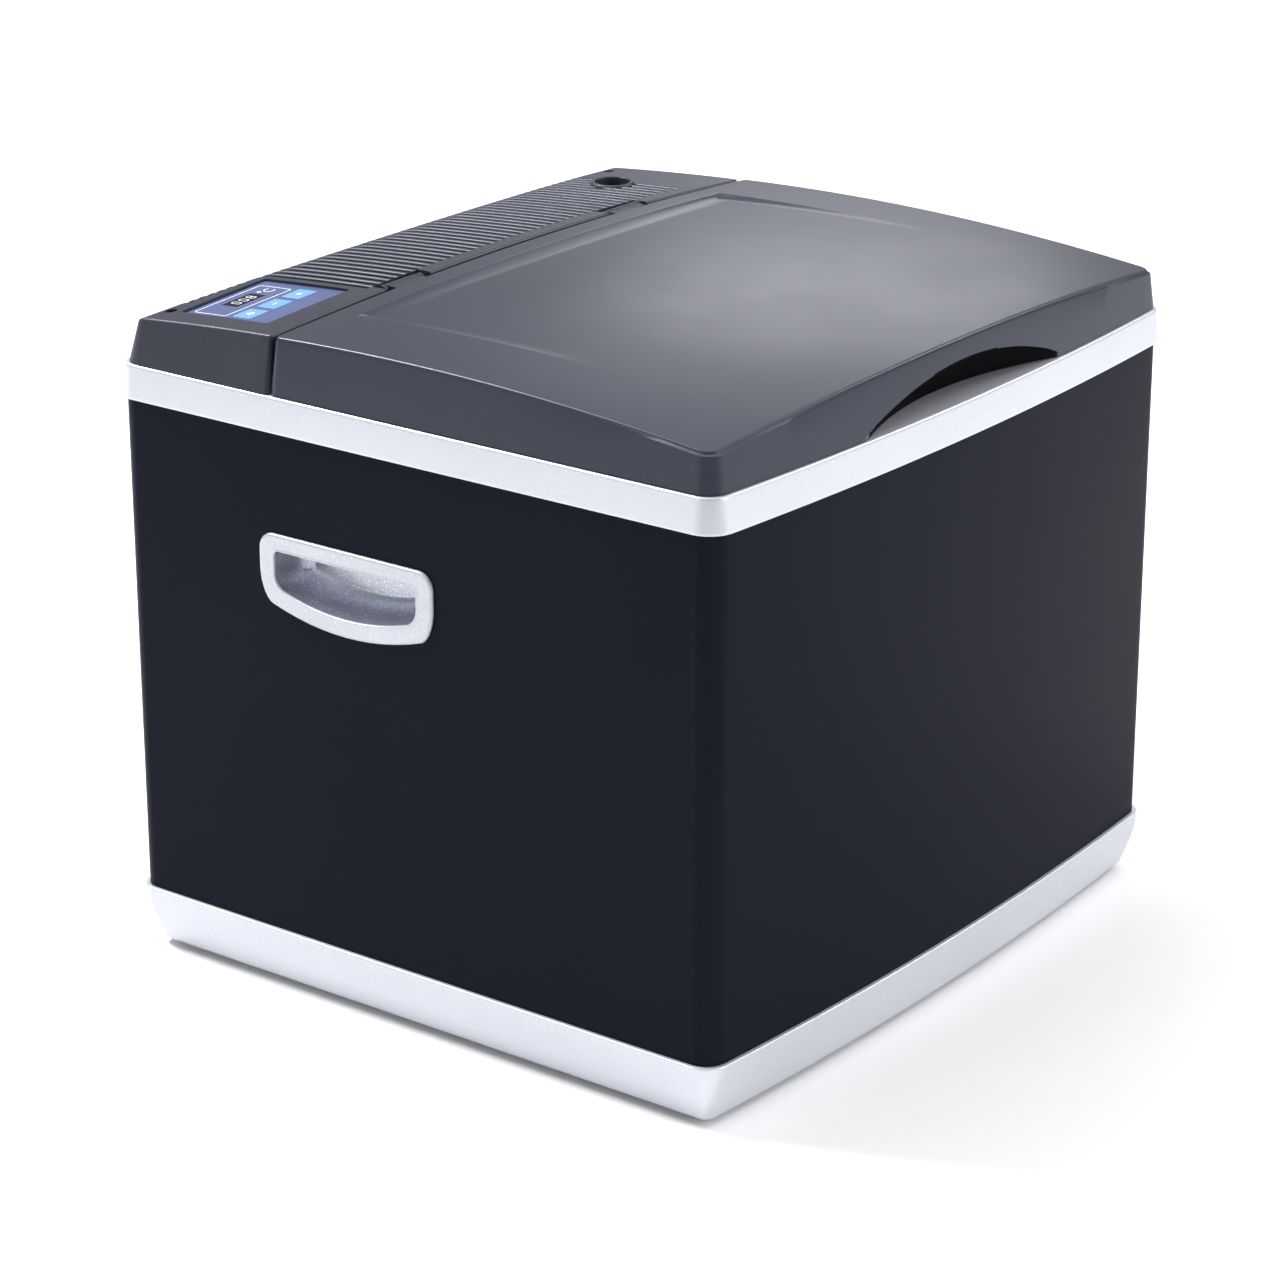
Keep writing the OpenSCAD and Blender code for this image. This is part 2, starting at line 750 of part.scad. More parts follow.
module fan_shroud() {
    color("#8f9399") difference() {
        union() {
            block([146, fan_y - 50, 20], [148, fan_y + 50, 154]);
            for (y = [fan_y - 50, fan_y + 48])
                block([146, y, 20], [151, y + 2, 154]);
            block([136, fan_y - 46, tray_z + 3], [148, fan_y + 46, 22]);
        }
        translate([145, fan_y, fan_z]) rotate([0, 90, 0]) cylinder(h = 10, r = 44, $fn = 96);
        for (y = [-fan_hole, fan_hole], z = [-fan_hole, fan_hole])
            translate([145, fan_y + y, fan_z + z]) rotate([0, 90, 0])
                cylinder(h = 10, r = 1.9, $fn = 24);
    }
}

module fan_frame() {
    color("#1b1c1f") {
        difference() {
            block([fan_x, fan_y - fan_side / 2, fan_z - fan_side / 2],
                  [fan_x + fan_t, fan_y + fan_side / 2, fan_z + fan_side / 2]);
            translate([fan_x - 1, fan_y, fan_z]) rotate([0, 90, 0])
                cylinder(h = fan_t + 2, r = 43.5, $fn = 96);
            for (y = [-fan_hole, fan_hole], z = [-fan_hole, fan_hole])
                translate([fan_x - 1, fan_y + y, fan_z + z]) rotate([0, 90, 0])
                    cylinder(h = fan_t + 2, r = 2.15, $fn = 24);
        }
        translate([fan_x, fan_y, fan_z]) rotate([0, 90, 0]) {
            cylinder(h = 3, r = 18, $fn = 48);
            cylinder(h = 15, r = 2.2, $fn = 32);
            for (a = [45:90:315])
                rotate([0, 0, a]) translate([16, -2, 0]) cube([29, 4, 3]);
        }
    }
}

module fan_screws() {
    color("#c9ccd1") for (y = [-fan_hole, fan_hole], z = [-fan_hole, fan_hole])
        translate([fan_x, fan_y + y, fan_z + z]) rotate([0, -90, 0]) screw(1.8, fan_t + 5, 3.6, 2);
}

module fan_rotor() {
    color("#2a2b2f") translate([fan_x, fan_y, fan_z]) rotate([0, 90, 0]) difference() {
        union() {
            translate([0, 0, 4]) cylinder(h = 18, r = 17, $fn = 64);
            for (a = [0:7])
                rotate([0, 0, a * 360 / 7]) translate([15, 0, 13]) rotate([38, 0, 0])
                    translate([0, -0.9, -9]) cube([26, 1.8, 18]);
        }
        translate([0, 0, 3]) cylinder(h = 13, r = 2.26, $fn = 32);
    }
}

module discharge_line() {
    color("#b87333") pipe([[24, comp_y, comp_top_z], [24, comp_y, 170], [24, 118, 170],
        [coil_cols[0], 118, 170], [coil_cols[0], 118, coil_top_z],
        [coil_cols[0], coil_y0 - 5, coil_top_z]], 3, 6);
}

module suction_line() {
    color("#b87333") pipe([[header_x, 118, port_z], [header_x, 140, port_z], [-4, 140, port_z],
        [-4, comp_y, port_z], [-4, comp_y, comp_top_z]], 3.4, 10);
}

module liquid_line() {
    color("#b87333") pipe([[coil_cols[1], coil_y0 - 5, coil_top_z], [coil_cols[1], 114, coil_top_z],
        [coil_cols[1], 114, drier_z], [216, 114, drier_z], [216, drier_y, drier_z],
        [drier_x, drier_y, drier_z]], 3, 8);
}

module filter_drier() {
    color("#b87333") translate([drier_x, drier_y, drier_z]) rotate([0, -90, 0]) {
        cylinder(h = 12, r1 = 4, r2 = 9, $fn = 32);
        translate([0, 0, 12]) cylinder(h = 66, r = 9, $fn = 32);
        translate([0, 0, 78]) cylinder(h = 12, r1 = 9, r2 = 2.4, $fn = 32);
    }
}

module capillary_tube() {
    color("#b87333") pipe([[drier_x - 90, drier_y, drier_z], [60, drier_y, drier_z],
        [60, drier_y, 280], [-header_x, drier_y, 280], [-header_x, drier_y, port_z],
        [-header_x, 118, port_z]], 1.5, 8);
}

module power_supply() {
    color("#9fa3a8") {
        block([-228, 124, tray_z + 3], [-108, 206, 58]);
        block([-232, 150, tray_z + 3], [-228, 180, tray_z + 6]);
        block([-108, 150, tray_z + 3], [-104, 180, tray_z + 6]);
    }
}

// ---------- power inlets in the back panel ----------

module inlet_shape(x, flange, body, opening, depth) {
    difference() {
        union() {
            block([x - flange[0] / 2, inlet_y, inlet_z - flange[1] / 2],
                  [x + flange[0] / 2, inlet_y + inlet_flange_t, inlet_z + flange[1] / 2]);
            block([x - body[0] / 2, inlet_y - depth - 3, inlet_z - body[1] / 2],
                  [x + body[0] / 2, inlet_y + 0.1, inlet_z + body[1] / 2]);
        }
        block([x - opening[0] / 2, inlet_y - depth, inlet_z - opening[1] / 2],
              [x + opening[0] / 2, inlet_y + 3, inlet_z + opening[1] / 2]);
        for (s = [-1, 1])
            translate([x + s * (flange[0] / 2 - 5), inlet_y - 1, inlet_z]) rotate([-90, 0, 0])
                cylinder(h = 4, r = 1.7, $fn = 24);
    }
}

module mains_inlet() {
    color("#202125") inlet_shape(ac_x, [50, 22.5], [27, 19.8], [24, 16.5], 16);
}

module mains_inlet_pins() {
    color("#c9ccd1") for (p = [[-7, -2], [7, -2], [0, 2]])
        block([ac_x + p[0] - 1, inlet_y - 22, inlet_z + p[1] - 2],
              [ac_x + p[0] + 1, inlet_y - 5, inlet_z + p[1] + 2]);
}

module dc_inlet() {
    color("#202125") inlet_shape(dc_x, [44, 20], [26, 16], [22, 12], 14);
}

module dc_inlet_pins() {
    color("#c9ccd1") for (s = [-5, 5])
        translate([dc_x + s, inlet_y - 20, inlet_z]) rotate([-90, 0, 0])
            cylinder(h = 14, r = 1.5, $fn = 32);
}

module inlet_screws() {
    color("#c9ccd1") for (x = inlet_screw_xs)
        translate([x, inlet_y + inlet_flange_t, inlet_z]) rotate([-90, 0, 0]) screw(1.6, 5, 2.8, 0.6);
}

// ---------- hinges ----------

module hinge_brackets() {
    color("#3a3b40") both() difference() {
        union() {
            block([hinge_x - 20, 113, rim_z], [hinge_x + 20, 123.6, rim_z + 3]);
            for (x = [hinge_x - arm_w / 2 - 0.5 - ear_t, hinge_x + arm_w / 2 + 0.5]) {
                block([x, 113, rim_z], [x + ear_t, 119, hinge_z]);
                translate([x, hinge_y, hinge_z]) rotate([0, 90, 0])
                    cylinder(h = ear_t, r = knuckle_r, $fn = 48);
            }
        }
        translate([hinge_x - 25, hinge_y, hinge_z]) rotate([0, 90, 0])
            cylinder(h = 50, r = pin_r, $fn = 48);
        for (d = screw_dxs)
            translate([hinge_x + d, bracket_screw_y, rim_z - 1]) cylinder(h = 5, r = 1.7, $fn = 24);
    }
}

module hinge_pins() {
    color("#c9ccd1") both() translate([hinge_x - 20, hinge_y, hinge_z]) rotate([0, 90, 0])
        cylinder(h = 40, r = pin_r, $fn = 48);
}

module bracket_screws() {
    color("#c9ccd1") for (x = bracket_screw_xs)
        translate([x, bracket_screw_y, rim_z + 3]) screw(1.4, 8, 2.4, 1.6);
}

// ---------- lid ----------

// Finger notch: arched in front and curved in plan
module finger_notch(grow) {
    arch_r = (notch_half_w * notch_half_w + notch_h * notch_h) / (2 * notch_h);
    plan_r = (notch_half_w * notch_half_w + notch_d * notch_d) / (2 * notch_d);
    intersection() {
        translate([0, -150, lid_z + notch_h - arch_r]) rotate([90, 0, 0])
            cylinder(h = 200, r = arch_r + grow, $fn = 240);
        translate([0, notch_d - half_d - plan_r, lid_z - 40])
            cylinder(h = 100, r = plan_r + grow, $fn = 240);
    }
}

// Underside of the space above the lid's sunk panel
module panel_floor(inset) {
    crowned(crown_z - panel_drop - inset, panel_mid_y, lid_rx, lid_ry);
}

// Outside of the lid, or its inside when inset
module lid_solid(inset, z0) {
    w = half_w - inset;
    intersection() {
        prism(-0.4 - inset, z0, crown_z + 5);
        crowned(crown_z - inset, lid_mid_y, lid_rx, lid_ry);
        rotate([90, 0, 0]) translate([0, 0, -lid_back_y + inset]) linear_extrude(400)
            polygon([[-w, lid_z - 20], [w, lid_z - 20], [w, lid_z], [w - 6, crown_z + 5],
                     [6 - w, crown_z + 5], [-w, lid_z]]);
        translate([0, bow_y, lid_z - 20])
            cylinder(h = 80, r1 = bow_r + 2.2 - inset, r2 = bow_r - 8 - inset, $fn = 720);
    }
}

module lid_shell() {
    color("#44464f") difference() {
        union() {
            difference() {
                lid_solid(0, lid_z);
                difference() {
                    intersection() {
                        lid_solid(skin, lid_z - 5);
                        panel_floor(skin);
                    }
                    finger_notch(skin);
                }
            }
            both() block([hinge_x - 20, lid_back_y - 9, lid_z + 5.5],
                         [hinge_x + 20, lid_back_y, hinge_z + 3]);
        }
        finger_notch(0);
        difference() {
            block([-sunk_x, sunk_front_y, lid_z + 20], [sunk_x, sunk_back_y, crown_z + 5]);
            panel_floor(0);
        }
        both() {
            block([hinge_x - arm_w / 2 - 0.2, lid_back_y - 3, lid_z + 7],
                  [hinge_x + arm_w / 2 + 0.2, lid_back_y + 1, hinge_z + 4.2]);
            for (d = screw_dxs)
                translate([hinge_x + d, lid_back_y - 9.5, arm_screw_z]) rotate([-90, 0, 0])
                    cylinder(h = 8, r = 1.5, $fn = 24);
        }
    }
}

module lid_foam() {
    x = bin_w / 2 - 7;
    color("#f2e7b8") difference() {
        union() {
            intersection() {
                lid_solid(skin + 0.3, lid_z + 5.5);
                prism(-9, lid_z, crown_z);
                panel_floor(skin + 1.5);
                block([-300, -300, 0], [300, lid_back_y - 9.4, 500]);
            }
            round_box(-x, x, bin_front_y + 7, bin_back_y - 7, bin_r - 4, rim_z - 6.6, lid_z + 6);
        }
        finger_notch(skin + 0.3);
    }
}

module lid_liner() {
    x = bin_w / 2 - 4;
    color("#eceef0") difference() {
        union() {
            lid_liner_plate();
            round_box(-x, x, bin_front_y + 4, bin_back_y - 4, bin_r - 2, rim_z - 9, rim_z + 4.5);
        }
        round_box(2 - x, x - 2, bin_front_y + 6, bin_back_y - 6, bin_r - 4, rim_z - 7, lid_z + 8);
    }
}

module lid_liner_plate() {
    difference() {
        intersection() {
            lid_solid(skin + 0.3, rim_z + 4);
            block([-300, -300, 0], [300, lid_back_y - skin - 0.3, rim_z + 6]);
        }
        finger_notch(skin + 0.3);
    }
}

module lid_gasket() {
    x = bin_w / 2 + 7;
    color("#34363c") difference() {
        round_box(-x, x, bin_front_y - 7, bin_back_y + 7, bin_r + 6, rim_z + 0.3, rim_z + 4);
        round_box(8 - x, x - 8, bin_front_y + 1, bin_back_y - 1, bin_r - 2, rim_z, rim_z + 5);
    }
}

module lid_hinge_arms() {
    color("#3a3b40") both() difference() {
        union() {
            translate([hinge_x - arm_w / 2, hinge_y, hinge_z]) rotate([0, 90, 0])
                cylinder(h = arm_w, r = knuckle_r, $fn = 48);
            block([hinge_x - arm_w / 2, lid_back_y - 3, hinge_z - 4],
                  [hinge_x + arm_w / 2, hinge_y, hinge_z + 3.4]);
            block([hinge_x - arm_w / 2, lid_back_y - 3, lid_z + 7.2],
                  [hinge_x + arm_w / 2, lid_back_y, hinge_z]);
        }
        translate([hinge_x - 25, hinge_y, hinge_z]) rotate([0, 90, 0])
            cylinder(h = 50, r = pin_r + pin_play, $fn = 48);
        for (d = screw_dxs)
            translate([hinge_x + d, lid_back_y - 5, arm_screw_z]) rotate([-90, 0, 0])
                cylinder(h = 8, r = 1.7, $fn = 24);
    }
}

module lid_hinge_screws() {
    color("#c9ccd1") both() for (d = screw_dxs)
        translate([hinge_x + d, lid_back_y, arm_screw_z]) rotate([-90, 0, 0]) screw(1.4, 9, 2.6, 1.2);
}

base_tray();
feet();
casing_wrap();
back_panel();
back_panel_screws();
top_frame();
bin_liner();
body_foam();
evaporator_coil();
temperature_sensor();
partition_panel();
handle_left();
handle_right();
machinery_cover();
cover_screws();
control_fascia();
display_window();
display_module();
control_board();
board_screws();
ribbon_cable();
compressor_plate();
compressor_grommets();
compressor_bolts();
compressor_lower_shell();
compressor_upper_shell();
compressor_pump();
compressor_controller();
condenser_tube();
condenser_fins();
fan_shroud();
fan_frame();
fan_screws();
fan_rotor();
discharge_line();
suction_line();
liquid_line();
filter_drier();
capillary_tube();
power_supply();
mains_inlet();
mains_inlet_pins();
dc_inlet();
dc_inlet_pins();
inlet_screws();
hinge_brackets();
hinge_pins();
bracket_screws();
lid_shell();
lid_foam();
lid_liner();
lid_gasket();
lid_hinge_arms();
lid_hinge_screws();
key_left();
key_middle();
key_right();
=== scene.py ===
"""Chest fridge for vans and boats: a painted steel casing between two silver bands, a crowned lid over the
bin, and a slotted machinery cover behind it with the control panel at its left end."""
import json
import math

import bmesh
import bpy
from mathutils import Matrix, Vector


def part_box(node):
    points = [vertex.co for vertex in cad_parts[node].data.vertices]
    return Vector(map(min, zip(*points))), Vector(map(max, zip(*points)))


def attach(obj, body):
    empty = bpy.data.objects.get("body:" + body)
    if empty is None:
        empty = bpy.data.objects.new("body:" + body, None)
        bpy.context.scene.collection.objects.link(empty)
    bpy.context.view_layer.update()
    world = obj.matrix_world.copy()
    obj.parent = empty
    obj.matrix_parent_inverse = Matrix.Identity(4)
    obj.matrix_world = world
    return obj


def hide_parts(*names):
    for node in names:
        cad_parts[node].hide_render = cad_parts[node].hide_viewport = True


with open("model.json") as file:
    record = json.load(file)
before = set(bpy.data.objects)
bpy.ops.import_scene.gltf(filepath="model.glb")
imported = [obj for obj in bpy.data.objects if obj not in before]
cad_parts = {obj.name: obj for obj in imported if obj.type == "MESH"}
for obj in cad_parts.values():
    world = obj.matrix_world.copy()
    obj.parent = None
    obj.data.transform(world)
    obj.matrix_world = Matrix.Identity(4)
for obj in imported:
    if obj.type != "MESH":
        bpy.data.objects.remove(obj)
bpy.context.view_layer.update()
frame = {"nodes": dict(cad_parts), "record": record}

MM = 0.001
CABINET, LID = "cabinet", "lid"


# ---------------- camera, floor and light

def aim(obj, place, azimuth, pitch):
    """Puts a camera or lamp at a place, looking along a compass angle and down by a pitch, in degrees."""
    a, e = math.radians(azimuth), math.radians(pitch)
    look = Vector((math.sin(a) * math.cos(e), math.cos(a) * math.cos(e), -math.sin(e)))
    obj.location = place
    obj.rotation_euler = look.to_track_quat("-Z", "Y").to_euler()


LENS_MM, SENSOR_MM = 112.4, 36
CAMERA_PLACE, CAMERA_AZIMUTH, CAMERA_PITCH = (-1.94667, -1.43921, 1.09388), 53.244, 20.528
WORLD_COLOUR, WORLD_STRENGTH = (0.97, 0.98, 1.0, 1.0), 0.36
# Each softbox's name, place, aim, width, height and watts.
SOFTBOXES = [
    ("ceiling_softbox", (0.6, 0.5, 4.2), (0.6, 0.5, 0.0), 5.0, 5.0, 130),
    ("rear_softbox", (3.15, 1.85, 1.75), (0.0, 0.0, 0.43), 1.0, 0.7, 8),
    ("edge_softbox", (-0.6, 1.9, 2.6), (0.0, 0.0, 0.4), 1.0, 0.34, 125),
    ("right_softbox", (2.3, -1.2, 2.0), (0.0, -0.1, 0.4), 0.4, 0.9, 26),
    ("front_softbox", (0.9, -3.3, 1.7), (0.0, -0.1, 0.25), 1.6, 2.2, 60),
    ("side_softbox", (-3.4, 0.9, 1.4), (0.0, 0.0, 0.25), 1.2, 2.2, 15)]
FLOOR_HALF_M, FLOOR_WHITE = 14, 0.93


def set_the_studio():
    """A camera, an even sky, six softboxes and a sheet of white paper for a floor."""
    scene = bpy.context.scene
    camera = bpy.data.objects.new("camera", bpy.data.cameras.new("camera"))
    scene.collection.objects.link(camera)
    camera.data.lens, camera.data.sensor_width = LENS_MM, SENSOR_MM
    camera.data.clip_start, camera.data.clip_end = 0.05, 60
    aim(camera, CAMERA_PLACE, CAMERA_AZIMUTH, CAMERA_PITCH)
    scene.camera = camera
    scene.view_settings.view_transform = "Standard"

    world = bpy.data.worlds.new("studio")
    scene.world = world
    world.use_nodes = True
    background = world.node_tree.nodes["Background"]
    background.inputs["Color"].default_value = WORLD_COLOUR
    background.inputs["Strength"].default_value = WORLD_STRENGTH

    for name, place, target, width, height, watts in SOFTBOXES:
        lamp = bpy.data.objects.new(name, bpy.data.lights.new(name, "AREA"))
        scene.collection.objects.link(lamp)
        lamp.data.shape = "RECTANGLE"
        lamp.data.size, lamp.data.size_y, lamp.data.energy = width, height, watts
        lamp.location = place
        lamp.rotation_euler = (Vector(target) - Vector(place)).to_track_quat("-Z", "Y").to_euler()

    bm = bmesh.new()
    bmesh.ops.create_grid(bm, x_segments=8, y_segments=8, size=FLOOR_HALF_M)
    floor = as_object("studio_floor", bm)
    paper = bpy.data.materials.new("matt_white_background_paper")
    paper.use_nodes = True
    shader = paper.node_tree.nodes["Principled BSDF"]
    shader.inputs["Base Color"].default_value = (FLOOR_WHITE, FLOOR_WHITE, FLOOR_WHITE, 1)
    shader.inputs["Roughness"].default_value = 0.95
    shader.inputs["Specular IOR Level"].default_value = 0.1
    floor.data.materials.append(paper)


# ---------------- materials

def linear(hex_colour):
    """An sRGB hex colour in linear light."""
    parts = [int(hex_colour[i:i + 2], 16) / 255 for i in (1, 3, 5)]
    return [*(c / 12.92 if c <= 0.04045 else ((c + 0.055) / 1.055) ** 2.4 for c in parts), 1.0]


def add_node(tree, kind, settings=None, **links):
    """Adds one node. A link is a socket to join or a value to set. In its name an underscore is a space, and
    i6 means input number 6."""
    node = tree.nodes.new(kind)
    for key, value in (settings or {}).items():
        setattr(node, key, value)
    for key, value in links.items():
        numbered = key[0] == "i" and key[1:].isdigit()
        socket = node.inputs[int(key[1:]) if numbered else key.replace("_", " ")]
        if isinstance(value, bpy.types.NodeSocket):
            tree.links.new(value, socket)
        else:
            socket.default_value = value
    return node


PATCH_RANGE, FLECK_RANGE = (0.3, 0.7), (0.56, 0.72)


def noise(tree, place, size_mm, detail):
    """Soft random patches of about one size."""
    return add_node(tree, "ShaderNodeTexNoise", Vector=place, Scale=1 / (size_mm * MM),
                    Detail=detail).outputs["Fac"]


def mixed(tree, share, first, second):
    """Two colours, mixed by a share."""
    return add_node(tree, "ShaderNodeMix", {"data_type": "RGBA"}, i0=share, i6=first, i7=second).outputs[2]


def ranged(tree, value, span, low=0.0, high=1.0):
    """Runs from low to high while the value runs over a span."""
    return add_node(tree, "ShaderNodeMapRange", Value=value, From_Min=span[0], From_Max=span[1], To_Min=low,
                    To_Max=high).outputs["Result"]


def surface(name, colour, roughness, metallic=0.0, drift=None, drift_mm=60, spread=0.04, grain_mm=0, depth_mm=0,
            stretch=(1, 1, 1), flecks=None, fleck_mm=1.0, **shader_values):
    """A finish: its colour drifts towards a second one in soft patches and its gloss drifts with it, flecks
    lie in it, and a fine relief stands on it. Sizes are in millimetres."""
    material = bpy.data.materials.new(name)
    material.use_nodes = True
    tree = material.node_tree
    shader = tree.nodes["Principled BSDF"]
    shader.inputs["Metallic"].default_value = metallic
    for key, value in shader_values.items():
        shader.inputs[key.replace("_", " ")].default_value = value
    place = add_node(tree, "ShaderNodeTexCoord").outputs["Object"]
    if stretch != (1, 1, 1):
        place = add_node(tree, "ShaderNodeMapping", Vector=place, Scale=stretch).outputs["Vector"]
    patches = noise(tree, place, drift_mm, 3.0)
    tint = mixed(tree, patches, linear(colour), linear(drift or colour))
    if flecks:
        dots = ranged(tree, noise(tree, place, fleck_mm, 1.0), FLECK_RANGE)
        tint = mixed(tree, dots, tint, linear(flecks))
    tree.links.new(tint, shader.inputs["Base Color"])
    gloss = ranged(tree, patches, PATCH_RANGE, roughness - spread, roughness + spread)
    tree.links.new(gloss, shader.inputs["Roughness"])
    if grain_mm:
        relief = noise(tree, place, grain_mm, 2.0)
        bump = add_node(tree, "ShaderNodeBump", Height=relief, Distance=depth_mm * MM, Strength=1.0)
        tree.links.new(bump.outputs["Normal"], shader.inputs["Normal"])
    return material


